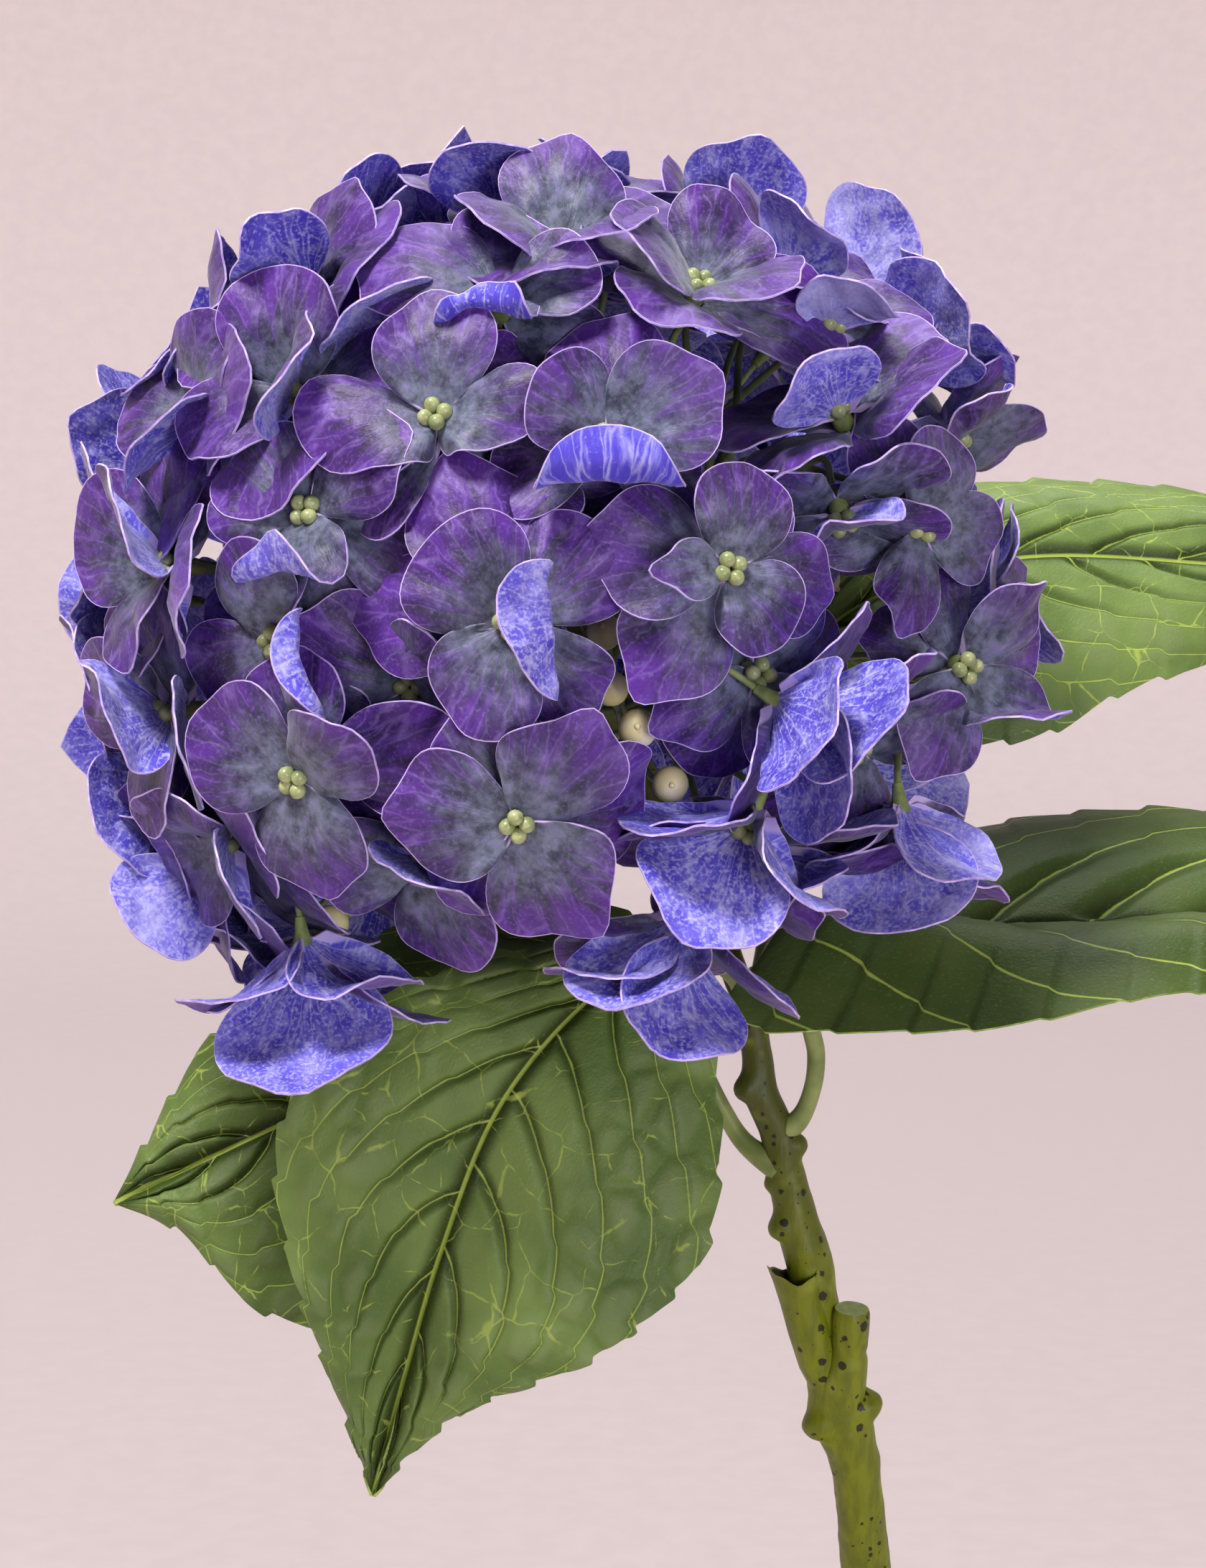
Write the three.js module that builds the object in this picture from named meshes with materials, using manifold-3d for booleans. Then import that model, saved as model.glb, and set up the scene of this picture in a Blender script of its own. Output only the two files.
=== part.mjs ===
// A cut hydrangea stem with its round flower head and four leaves, standing in a clear glass jar of water.
// Millimetres, +Z up. The origin is the centre of the jar's flat underside. The flower head leans to -X and
// the stem rests on the front of the jar's neck.
import * as THREE from "three";
import { mergeVertices } from "three/addons/utils/BufferGeometryUtils.js";
import Module from "manifold-3d";

const wasm = await Module();
wasm.setup();
const { Manifold } = wasm;

// ---- driving dimensions ----

const GAP = 0.3; // clearance between pieces that touch

const JAR_HEIGHT = 120;
const JAR_RADIUS = 43;
const JAR_WALL = 3.2;
const JAR_FLOOR = 5;
const NECK_INNER_RADIUS = 24.3;
const LIP_RADIUS = 29.4;
const SHOULDER_START = 78;
const SHOULDER_END = 104;
const WATER_LEVEL = 82;
const JAR_SEGMENTS = 32;

const HEAD_CENTRE = new THREE.Vector3(-60, -42, 318);
const CORE_RADIUS = 36;
const PETAL_THICKNESS = 0.9;
const INNER_PETAL_LENGTH = 14;
const OUTER_PETAL_LENGTH = 19;
const WHORL_SPACING = 2.4;
const EYE_RADIUS = 3;
const FLORET_RADII = [78, 74, 70]; // from the head's centre to a floret's eye
const PEDICEL_RADIUS = 0.9;

const BLADE_THICKNESS = 0.9;
const TEETH_PER_SIDE = 13;
const TOOTH_DEPTH = 1.6;
const PUCKER_HEIGHT = 1.1;
const MIDRIB_HEIGHT = 1.5;
const PETIOLE_RADIUS = 1.6;

// The cane from its cut foot up into the flower head: centre and radius at each place.
const CANE = [
  [6, 21, 2, 4.6],
  [2, 2, 60, 4.6],
  [-3, -19, 120, 4.5],
  [-5.4, -25.5, 146, 4.4],
  [-8, -29.8, 168, 4.4],
  [-9.8, -31.4, 174, 5.0],
  [-11, -32, 178, 5.4],
  [-12, -32.6, 182, 4.6],
  [-13.4, -33.4, 188, 3.9],
  [-16.8, -35.6, 206, 4.0],
  [-19, -36.6, 214, 3.6],
  [-20.6, -37, 220.4, 3.3],
  [-22.5, -37.9, 229, 3.0],
  [-25.2, -38.6, 236, 3.0],
  [-26, -39.2, 243, 2.6],
  [-27.4, -39.7, 250, 2.4],
  [-34.8, -41.2, 269, 2.3],
  [-43, -42.2, 287, 2.3],
  [-49.4, -42.5, 298, 2.2],
  [-52.7, -42.7, 308, 2.0],
];

// The cut-off side shoot that stands beside the cane.
const STUB = [
  [-12, -33, 176, 4.0],
  [-10.6, -35, 182, 4.0],
  [-9.6, -36.6, 189, 3.3],
  [-9.4, -37.4, 193, 3.0],
  [-9.3, -38, 197.4, 3.1],
];

// The dry bract that clasps the cane's left side and ends in a point.
const BRACT = [
  [-13.4, -34, 184, 3.0],
  [-16, -36, 195, 3.9],
  [-18.4, -36.9, 203, 3.8],
  [-21.2, -37.6, 207.5, 0.8],
];

// Leaf scars and resting buds on the cane: centre and radius.
const BUDS = [
  [-6.2, -33.6, 179, 2.6],
  [-14.6, -34.6, 175.5, 2.5],
  [-22.4, -38.6, 211.5, 2.3],
  [-25, -38.4, 219, 1.8],
  [-28.6, -40.6, 236.4, 2.2],
  [-19, -38.6, 226.4, 1.9],
  [-17, -37.4, 208, 2.2],
];

// Each leaf: its margins and midrib from base to tip, and its petiole from the cane's axis to the base.
const LEAVES = {
  leaf_front: {
    left: [[-42, -50, 262], [-56, -52, 265], [-79, -58, 261], [-98, -64, 251], [-106, -68, 234],
      [-104, -68, 214], [-98, -63, 191], [-91, -54, 170]],
    midrib: [[-42, -50, 262], [-55, -59, 255], [-69, -65, 239], [-79, -65, 214], [-85, -61, 193], [-91, -54, 170]],
    right: [[-42, -50, 262], [-34, -50, 257], [-33, -54, 245], [-32, -60, 231], [-35, -66, 214],
      [-51, -70, 199], [-74, -64, 187], [-91, -54, 170]],
    petiole: [[-27, -39.5, 249], [-30, -44, 256.5], [-35, -47.5, 260.5], [-42, -50, 262]],
  },
  leaf_back_left: {
    left: [[-41, -33, 251], [-43, -26, 262], [-62, -22, 268], [-81, -20, 264], [-103, -20, 256],
      [-121, -24, 243], [-131, -30, 228], [-137, -34, 215]],
    midrib: [[-41, -33, 251], [-68, -32, 246], [-89, -33, 237], [-108, -34, 229], [-137, -34, 215]],
    right: [[-41, -33, 251], [-43, -36, 238], [-56, -40, 221], [-75, -44, 206], [-91, -45, 196],
      [-110, -43, 197], [-125, -38, 210], [-137, -34, 215]],
    petiole: [[-22, -37.8, 222], [-28, -36.6, 226.5], [-31.6, -35.6, 232], [-37, -34.4, 243], [-41, -33, 251]],
  },
  leaf_lower_right: {
    left: [[-17, -43, 249], [-19, -40, 254], [-15, -26, 264], [-3, -12, 273], [16, -5, 278],
      [37, -4, 280], [59, -8, 280], [74, -22, 271], [84, -38, 256]],
    midrib: [[-17, -43, 249], [-13, -42, 258], [-6, -40, 263], [15, -38, 264], [51, -38, 264], [84, -38, 256]],
    right: [[-17, -43, 249], [-24, -50, 254], [-31, -60, 254], [-30, -68, 250], [-13, -72, 251],
      [14, -74, 254], [45, -70, 258], [66, -56, 257], [84, -38, 256]],
    petiole: [[-22.2, -37.7, 228], [-18.6, -39, 231], [-16.4, -40.6, 237], [-16, -42, 243], [-17, -43, 249]],
  },
  leaf_upper_right: {
    left: [[-20, -8, 306], [-20, 0, 317], [-8, 10, 330], [16, 18, 338], [40, 22, 338], [63, 22, 336],
      [84, 16, 328], [101, 8, 316]],
    midrib: [[-20, -8, 306], [-6, -4, 317], [21, 2, 325], [57, 6, 324], [81, 8, 321], [101, 8, 316]],
    right: [[-20, -8, 306], [-15, -12, 297], [-2, -14, 292], [23, -14, 293], [41, -10, 301],
      [59, -4, 306], [81, 4, 311], [101, 8, 316]],
    petiole: [[-27.2, -39.5, 247], [-25, -31, 254], [-22.5, -20, 270], [-21.5, -12, 291], [-20, -8, 306]],
  },
};

// The florets that show: longitude from the front towards +X, and latitude, about the head's centre.
const FLORETS = [
  [-14, 26], [7, 23], [-4, 3], [20, 9], [-30, -15], [-4, -19], [-30, 13], [-11, 40], [-23, 73], [37, 78],
  [0, 51], [30, 48], [82, 66], [52, 47], [83, 49], [48, 33], [85, 29], [42, 20], [61, 15], [59, -5],
  [27, -9], [22, -26], [52, -25], [19, -42], [-73, 62], [-53, 45], [-70, 35], [-40, 29], [-53, 22], [-83, 18],
  [-82, 0], [-80, -18], [-76, -36], [-40, -48], [-50, 3], [-52, -12], [-58, -30],
];

// ---- helpers ----

// A repeatable source of numbers from 0 to 1.
function seededDraws(seed) {
  let state = seed;
  return () => {
    state = (state + 0x6d2b79f5) | 0;
    let mixed = Math.imul(state ^ (state >>> 15), 1 | state);
    mixed = (mixed + Math.imul(mixed ^ (mixed >>> 7), 61 | mixed)) ^ mixed;
    return ((mixed ^ (mixed >>> 14)) >>> 0) / 4294967296;
  };
}

function vectors(points) {
  return points.map(([x, y, z]) => new THREE.Vector3(x, y, z));
}

function smoothCurve(points) {
  return new THREE.CatmullRomCurve3(vectors(points), false, "centripetal");
}

// Turns a closed three.js geometry into a solid that can be joined and cut.
function solidFrom(geometry) {
  const bare = new THREE.BufferGeometry();
  const source = geometry.index ? geometry.toNonIndexed() : geometry;
  bare.setAttribute("position", source.getAttribute("position"));
  const merged = mergeVertices(bare, 1e-4);
  const corners = merged.index.array;
  const kept = [];
  for (let i = 0; i < corners.length; i += 3) {
    const [a, b, c] = [corners[i], corners[i + 1], corners[i + 2]];
    if (a !== b && b !== c && c !== a) kept.push(a, b, c);
  }
  return new Manifold(
    new wasm.Mesh({
      numProp: 3,
      vertProperties: new Float32Array(merged.attributes.position.array),
      triVerts: new Uint32Array(kept),
    }),
  );
}

// Turns a solid back into a geometry. Scraps that a cut left loose are dropped.
function geometryFrom(solid) {
  const bodies = solid.decompose();
  const whole = bodies.reduce((best, body) => (body.volume() > best.volume() ? body : best));
  const mesh = whole.getMesh();
  const geometry = new THREE.BufferGeometry();
  geometry.setAttribute("position", new THREE.BufferAttribute(new Float32Array(mesh.vertProperties), 3));
  geometry.setIndex(Array.from(mesh.triVerts));
  geometry.computeVertexNormals();
  return geometry;
}

// A round rod along a smooth curve through [x, y, z, radius] places, closed by flat ends. The extra radius
// also lengthens both ends.
function taperedRod(places, sides, steps, extraRadius = 0) {
  const curve = smoothCurve(places);
  const frames = curve.computeFrenetFrames(steps, false);
  const positions = [];
  const index = [];
  for (let i = 0; i <= steps; i += 1) {
    const share = curve.getUtoTmapping(i / steps);
    const past = { 0: -extraRadius, [steps]: extraRadius }[i] ?? 0;
    const centre = curve.getPoint(share).addScaledVector(frames.tangents[i], past);
    const radius = radiusAt(places, share) + extraRadius;
    for (let j = 0; j < sides; j += 1) {
      const angle = (2 * Math.PI * j) / sides;
      const out = frames.normals[i].clone().multiplyScalar(Math.cos(angle) * radius);
      out.addScaledVector(frames.binormals[i], Math.sin(angle) * radius);
      positions.push(...centre.clone().add(out).toArray());
    }
  }
  for (let i = 0; i < steps; i += 1) {
    for (let j = 0; j < sides; j += 1) {
      const next = (j + 1) % sides;
      const [a, b] = [i * sides + j, i * sides + next];
      index.push(a, b, b + sides, a, b + sides, a + sides);
    }
  }
  const lastRing = steps * sides;
  for (let j = 1; j < sides - 1; j += 1) {
    index.push(0, j + 1, j);
    index.push(lastRing, lastRing + j, lastRing + j + 1);
  }
  return solidFrom(indexedGeometry(positions, index));
}

// The radius at a share of the curve, between the radii of the places on either side of it.
function radiusAt(places, share) {
  const along = share * (places.length - 1);
  const before = Math.min(Math.floor(along), places.length - 2);
  return THREE.MathUtils.lerp(places[before][3], places[before + 1][3], along - before);
}

function indexedGeometry(positions, index) {
  const geometry = new THREE.BufferGeometry();
  geometry.setAttribute("position", new THREE.Float32BufferAttribute(positions, 3));
  geometry.setIndex(index);
  return geometry;
}

// A thin blade from a patch of points and triangles: both faces share the same split, and a rim closes
// the outline, which is a list of point numbers in order round the patch. A ridge, if given, says how
// much further each point's underside stands out.
function bladeFrom(points, triangles, outline, thickness, ridge = () => 0) {
  const flat = indexedGeometry(points.flatMap((point) => point.toArray()), triangles);
  flat.computeVertexNormals();
  const normals = flat.getAttribute("normal");
  const positions = [];
  for (const side of [0.5, -0.5]) {
    points.forEach((point, i) => {
      const normal = new THREE.Vector3().fromBufferAttribute(normals, i);
      const offset = side * thickness - (side < 0 ? ridge(i) : 0);
      positions.push(...point.clone().addScaledVector(normal, offset).toArray());
    });
  }
  const under = points.length;
  const index = [...triangles];
  for (let i = 0; i < triangles.length; i += 3) {
    index.push(triangles[i] + under, triangles[i + 2] + under, triangles[i + 1] + under);
  }
  outline.forEach((a, i) => {
    const b = outline[(i + 1) % outline.length];
    index.push(a, a + under, b + under, a, b + under, b);
  });
  return solidFrom(indexedGeometry(positions, index));
}

// A solid turned about Z from a closed profile of [radius, height] points that starts and ends on the axis.
function turnedSolid(profile) {
  const points = profile.map(([radius, height]) => new THREE.Vector2(radius, height));
  const geometry = new THREE.LatheGeometry(points, JAR_SEGMENTS);
  geometry.rotateX(Math.PI / 2);
  return solidFrom(geometry);
}

function ball([x, y, z, radius], detail) {
  const geometry = new THREE.OctahedronGeometry(radius, detail);
  geometry.translate(x, y, z);
  return solidFrom(geometry);
}

// ---- glass jar and water ----

// The jar's inside from the shoulder's end down to the floor, kept clear of the glass by an allowance.
function insideProfile(allowance) {
  const radius = JAR_RADIUS - JAR_WALL - allowance;
  return [
    [radius, SHOULDER_START],
    [radius, JAR_FLOOR + 6],
    [radius - 1.6, JAR_FLOOR + 2],
    [radius - 5, JAR_FLOOR + allowance],
    [0, JAR_FLOOR + allowance],
  ];
}

function makeJar() {
  const neckOuter = NECK_INNER_RADIUS + JAR_WALL + 0.6;
  return turnedSolid([
    [0, 0],
    [JAR_RADIUS - 6, 0],
    [JAR_RADIUS - 2, 2.4],
    [JAR_RADIUS, 8],
    [JAR_RADIUS, SHOULDER_START],
    [JAR_RADIUS - 1.8, SHOULDER_START + 9],
    [JAR_RADIUS - 7, SHOULDER_START + 18],
    [neckOuter + 1.6, SHOULDER_END],
    [neckOuter, SHOULDER_END + 4],
    [neckOuter, JAR_HEIGHT - 7],
    [LIP_RADIUS, JAR_HEIGHT - 5],
    [LIP_RADIUS, JAR_HEIGHT - 1.8],
    [LIP_RADIUS - 1.6, JAR_HEIGHT],
    [NECK_INNER_RADIUS + 1.6, JAR_HEIGHT],
    [NECK_INNER_RADIUS, JAR_HEIGHT - 2],
    [NECK_INNER_RADIUS, SHOULDER_END + 4],
    [NECK_INNER_RADIUS + 2, SHOULDER_END],
    [JAR_RADIUS - 10.5, SHOULDER_START + 17],
    [JAR_RADIUS - 5, SHOULDER_START + 9],
    ...insideProfile(0),
  ]);
}

function makeWater() {
  const inside = insideProfile(GAP);
  const profile = [...inside.slice(1).reverse(), [inside[0][0] - 0.9, WATER_LEVEL], [0, WATER_LEVEL]];
  profile.splice(profile.length - 2, 0, inside[0]);
  return turnedSolid(profile).subtract(caneSolid(GAP));
}

// ---- stem ----

function caneSolid(extraRadius) {
  return taperedRod(CANE, 10, 36, extraRadius);
}

function stemSolid(extraRadius) {
  const pieces = [
    caneSolid(extraRadius),
    taperedRod(STUB, 10, 5, extraRadius),
    taperedRod(BRACT, 8, 4, extraRadius),
    ...BUDS.map(([x, y, z, radius]) => ball([x, y, z, radius + extraRadius], 1)),
  ];
  return Manifold.union(pieces);
}

function makeStem() {
  const belowFoot = new THREE.BoxGeometry(40, 40, 20);
  belowFoot.translate(CANE[0][0], CANE[0][1], JAR_FLOOR + GAP - 10);
  return stemSolid(0).subtract(solidFrom(belowFoot));
}

// ---- leaves ----

// A puckered blade with sawtooth margins, grown all round by a clearance. Two rows of points make one
// tooth, and five columns run from margin to margin.
function leafBlade(leaf, clearance) {
  const rows = 2 * TEETH_PER_SIDE + 1;
  const [left, midrib, right] = [leaf.left, leaf.midrib, leaf.right].map(smoothCurve);
  const points = [];
  for (let row = 0; row < rows; row += 1) {
    const along = THREE.MathUtils.lerp(0.035, 0.985, row / (rows - 1));
    const centre = midrib.getPointAt(along);
    const cutIn = (row % 2 ? 0 : TOOTH_DEPTH) - 2 * clearance;
    const edges = [left, right].map((margin) => {
      const edge = margin.getPointAt(along);
      const inward = centre.clone().sub(edge);
      return edge.addScaledVector(inward, Math.min(cutIn / inward.length(), 0.4));
    });
    const lift = new THREE.Vector3().subVectors(edges[1], edges[0]).cross(midrib.getTangentAt(along)).normalize();
    const pucker = PUCKER_HEIGHT * Math.sin(Math.PI * along) * (1 + Math.cos((Math.PI * row) / 3));
    const [leftHalf, rightHalf] = edges.map((edge) =>
      new THREE.Vector3().lerpVectors(centre, edge, 0.5).addScaledVector(lift, pucker),
    );
    points.push(edges[0], leftHalf, centre, rightHalf, edges[1]);
  }
  const triangles = [];
  const outline = [];
  for (let row = 0; row < rows - 1; row += 1) {
    for (let column = 0; column < 4; column += 1) {
      const a = row * 5 + column;
      triangles.push(a, a + 1, a + 6, a, a + 6, a + 5);
    }
  }
  for (let column = 0; column < 4; column += 1) outline.push(column);
  for (let row = 0; row < rows - 1; row += 1) outline.push(row * 5 + 4);
  for (let column = 4; column > 0; column -= 1) outline.push((rows - 1) * 5 + column);
  for (let row = rows - 1; row > 0; row -= 1) outline.push(row * 5);
  const midribRidge = (i) => (i % 5 === 2 ? MIDRIB_HEIGHT * (1 - i / points.length) : 0);
  const thickness = BLADE_THICKNESS + 2 * clearance;
  return bladeFrom(points, triangles, outline, thickness, midribRidge);
}

// The petiole, which runs on a little way under the blade as its rib.
function petiole(leaf, extraRadius) {
  const underBlade = smoothCurve(leaf.midrib).getPointAt(0.1).toArray();
  const places = [...leaf.petiole, underBlade].map((point) => [...point, PETIOLE_RADIUS]);
  return taperedRod(places, 6, 9, extraRadius);
}

function leafSolid(leaf, clearance) {
  return Manifold.union([leafBlade(leaf, clearance), petiole(leaf, clearance)]);
}

function makeLeaf(leaf) {
  return leafSolid(leaf, 0).subtract(stemSolid(GAP));
}

// ---- flower head ----

// One whorl of three broad petals in one lobed blade. A lobe is a list of degrees from the petal's middle,
// reach as a share of the petal's length, and rise as a share of the cup's height; its first point is the
// notch before the petal, and the three notches hold the flat middle.
function whorl(length, cup, lobe, turn) {
  const points = [];
  for (let petal = 0; petal < 3; petal += 1) {
    for (const [degrees, reach, rise] of lobe) {
      const angle = THREE.MathUtils.degToRad(120 * petal + degrees) + turn;
      const out = reach * length;
      points.push(new THREE.Vector3(Math.cos(angle) * out, Math.sin(angle) * out, rise * cup));
    }
  }
  const triangles = [0, lobe.length, 2 * lobe.length];
  for (let petal = 0; petal < 3; petal += 1) {
    const notch = petal * lobe.length;
    for (let i = 1; i < lobe.length; i += 1) {
      triangles.push(notch, notch + i, (notch + i + 1) % points.length);
    }
  }
  return bladeFrom(points, triangles, [...points.keys()], PETAL_THICKNESS);
}

// The eye on top of the pedicel, turned as one four-sided spindle.
function eyeOnPedicel(pedicelLength) {
  const profile = [
    [0, -pedicelLength],
    [PEDICEL_RADIUS, -pedicelLength],
    [PEDICEL_RADIUS * 1.4, -0.5],
    [EYE_RADIUS, WHORL_SPACING + 0.6],
    [0, WHORL_SPACING + EYE_RADIUS],
  ].map(([radius, height]) => new THREE.Vector2(radius, height));
  const geometry = new THREE.LatheGeometry(profile, 4);
  geometry.rotateX(Math.PI / 2);
  return solidFrom(geometry);
}

// One floret: two whorls of petals, the eye, and its pedicel down into the core.
function floret([longitude, latitude], radius, draw) {
  const size = 0.94 + 0.12 * draw();
  const turn = 2 * Math.PI * draw();
  const cup = 2.5 + 2 * draw();
  const innerLobe = [[-60, 0.5, 0], [-36, 0.96, 0.9], [0, 1.06, 1.2], [36, 0.96, 0.7]];
  const outerLobe = [[-60, 0.58, 0], [-34, 0.96, -0.3], [0, 1.04, -0.1], [34, 0.96, -0.3]];
  const pieces = [
    whorl(INNER_PETAL_LENGTH * size, cup, innerLobe, turn).translate([0, 0, WHORL_SPACING]),
    whorl(OUTER_PETAL_LENGTH * size, cup, outerLobe, turn + Math.PI / 3),
    eyeOnPedicel(radius - CORE_RADIUS + 3),
  ];
  const outward = new THREE.Vector3().setFromSphericalCoords(1, THREE.MathUtils.degToRad(90 - latitude),
    THREE.MathUtils.degToRad(longitude));
  outward.set(outward.x, -outward.z, outward.y);
  const stand = new THREE.Quaternion().setFromUnitVectors(new THREE.Vector3(0, 0, 1), outward);
  const place = new THREE.Matrix4().compose(
    outward.clone().multiplyScalar(radius).add(HEAD_CENTRE),
    stand,
    new THREE.Vector3(1, 1, 1),
  );
  return Manifold.union(pieces).transform(place.elements);
}

// Directions on the hidden side of the head: a golden-angle spiral, without those near a floret that
// shows, near the way in of the stem, or near the leaf that grows out at the right.
function hiddenDirections() {
  const count = 62;
  const taken = FLORETS.map(([longitude, latitude]) => [longitude, latitude, 22]);
  taken.push([105, -64, 48], [123, 0, 30]);
  const found = [];
  for (let i = 0; i < count; i += 1) {
    const latitude = THREE.MathUtils.radToDeg(Math.asin(1 - (2 * i + 1) / count));
    const longitude = ((i * 137.508) % 360) - 180;
    if (taken.every(([lon, lat, angle]) => degreesApart(longitude, latitude, lon, lat) > angle)) {
      found.push([longitude, latitude]);
    }
  }
  return found;
}

function degreesApart(longitudeA, latitudeA, longitudeB, latitudeB) {
  const [a, b, turn] = [latitudeA, latitudeB, longitudeA - longitudeB].map(THREE.MathUtils.degToRad);
  const cosine = Math.sin(a) * Math.sin(b) + Math.cos(a) * Math.cos(b) * Math.cos(turn);
  return THREE.MathUtils.radToDeg(Math.acos(THREE.MathUtils.clamp(cosine, -1, 1)));
}

// Neighbouring florets stand at different heights, so their petals lap over each other.
function floretRadii(directions) {
  const radii = [];
  directions.forEach(([longitude, latitude], i) => {
    const crowding = FLORET_RADII.map((radius) =>
      directions.slice(0, i).reduce((sum, [lon, lat], k) => {
        const near = Math.max(0, 1 - degreesApart(longitude, latitude, lon, lat) / 45);
        return sum + near * near * Math.max(0, 1 - Math.abs(radius - radii[k]) / 6);
      }, 0),
    );
    radii.push(FLORET_RADII[crowding.indexOf(Math.min(...crowding))]);
  });
  return radii;
}

function makeFlowerHead() {
  const draw = seededDraws(11);
  const directions = [...FLORETS, ...hiddenDirections()];
  const radii = floretRadii(directions);
  const pieces = [ball([...HEAD_CENTRE.toArray(), CORE_RADIUS], 2)];
  directions.forEach((direction, i) => pieces.push(floret(direction, radii[i], draw)));
  const neighbours = [stemSolid(GAP), ...Object.values(LEAVES).map((leaf) => leafSolid(leaf, GAP))];
  return Manifold.union(pieces).subtract(Manifold.union(neighbours));
}

// ---- the whole ----

function named(name, solid, colour, roughness, extra = {}) {
  const material = new THREE.MeshStandardMaterial({ color: colour, roughness, metalness: 0, ...extra });
  const mesh = new THREE.Mesh(geometryFrom(solid), material);
  mesh.name = name;
  return mesh;
}

const hydrangea = new THREE.Group();
hydrangea.add(named("jar", makeJar(), 0xdfe9e6, 0.05, { transparent: true, opacity: 0.35 }));
hydrangea.add(named("water", makeWater(), 0xd9e8ea, 0.02, { transparent: true, opacity: 0.4 }));
hydrangea.add(named("stem", makeStem(), 0x8a9a3a, 0.5));
for (const [name, leaf] of Object.entries(LEAVES)) {
  hydrangea.add(named(name, makeLeaf(leaf), 0x4f6830, 0.45));
}
hydrangea.add(named("flower_head", makeFlowerHead(), 0x5a3a86, 0.6));

export default hydrangea;
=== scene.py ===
import math

import bpy
import numpy as np
from mathutils import Matrix, Vector, noise


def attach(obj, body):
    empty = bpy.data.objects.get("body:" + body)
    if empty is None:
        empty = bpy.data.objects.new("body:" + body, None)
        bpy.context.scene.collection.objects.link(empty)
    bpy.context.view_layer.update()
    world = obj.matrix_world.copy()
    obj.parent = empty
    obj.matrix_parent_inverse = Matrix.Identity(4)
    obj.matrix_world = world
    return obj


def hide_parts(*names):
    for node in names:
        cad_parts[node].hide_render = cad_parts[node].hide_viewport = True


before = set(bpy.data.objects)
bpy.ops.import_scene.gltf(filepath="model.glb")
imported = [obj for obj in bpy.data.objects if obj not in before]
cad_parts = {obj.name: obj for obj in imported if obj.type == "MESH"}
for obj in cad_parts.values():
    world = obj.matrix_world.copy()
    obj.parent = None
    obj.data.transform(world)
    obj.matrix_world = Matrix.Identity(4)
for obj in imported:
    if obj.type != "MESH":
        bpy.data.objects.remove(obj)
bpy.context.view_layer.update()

mm = 0.001
up = np.array([0.0, 0.0, 1.0])
headCentre = np.array([-60.0, -42.0, 318.0])  # mm, middle of the round flower head


def hexToLinear(code):
    channels = [int(code[i:i + 2], 16) / 255 for i in (1, 3, 5)]
    return (*(c / 12.92 if c <= 0.04045 else ((c + 0.055) / 1.055) ** 2.4 for c in channels), 1.0)


def unit(vector):
    return vector / np.linalg.norm(vector)


def smoothStep(low, high, value):
    t = np.clip((value - low) / (high - low), 0, 1)
    return t * t * (3 - 2 * t)


def smoothPath(points, count):
    # evenly spaced points on a smooth line through the given ones
    p = np.array(points, float)
    p = np.vstack([2 * p[0] - p[1], p, 2 * p[-1] - p[-2]])
    fine = []
    for i in range(1, len(p) - 2):
        four = p[i - 1:i + 3]
        gaps = np.maximum(np.linalg.norm(np.diff(four, axis=0), axis=1), 1e-6) ** 0.5
        knots = np.concatenate([[0], np.cumsum(gaps)])
        t = np.linspace(knots[1], knots[2], 40, endpoint=i == len(p) - 3)[:, None]

        def blend(start, end, low, high):
            return ((knots[high] - t) * start + (t - knots[low]) * end) / (knots[high] - knots[low])

        outer = [blend(four[k], four[k + 1], k, k + 1) for k in range(3)]
        inner = [blend(outer[k], outer[k + 1], k, k + 2) for k in range(2)]
        fine.append(blend(*inner, 1, 2))
    fine = np.vstack(fine)
    run = np.concatenate([[0], np.cumsum(np.linalg.norm(np.diff(fine, axis=0), axis=1))])
    wanted = np.linspace(0, run[-1], count)
    return np.column_stack([np.interp(wanted, run, fine[:, k]) for k in range(p.shape[1])])


def gridQuads(rows, columns, start=0, closed=False):
    quads = []
    across = columns if closed else columns - 1
    for i in range(rows - 1):
        for j in range(across):
            a = start + i * columns + j
            b = start + i * columns + (j + 1) % columns
            quads.append((a, b, b + columns, a + columns))
    return quads


def borderEdges(rows, columns):
    # the edges round a grid of points, in order
    ring = list(range(columns)) + [i * columns + columns - 1 for i in range(1, rows)]
    ring += [(rows - 1) * columns + j for j in range(columns - 2, -1, -1)]
    ring += [i * columns for i in range(rows - 2, 0, -1)]
    return list(zip(ring, ring[1:] + ring[:1]))


def makeMesh(name, points, faces, materials, faceSlots=None, attributes=None, sharp=None):
    mesh = bpy.data.meshes.new(name)
    mesh.from_pydata((np.asarray(points) * mm).tolist(), [], faces)
    for material in materials:
        mesh.materials.append(material)
    if faceSlots is not None:
        mesh.polygons.foreach_set("material_index", np.asarray(faceSlots, np.int32))
    for label, values in (attributes or {}).items():
        values = np.asarray(values, np.float32)
        kind = "FLOAT" if values.ndim == 1 else "FLOAT_VECTOR"
        layer = mesh.attributes.new(label, kind, "POINT")
        layer.data.foreach_set("value" if values.ndim == 1 else "vector", values.ravel())
    mesh.validate()
    mesh.shade_smooth()
    if sharp:
        mesh.set_sharp_from_angle(angle=math.radians(sharp))
    piece = bpy.data.objects.new(name, mesh)
    bpy.context.scene.collection.objects.link(piece)
    return piece


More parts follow.
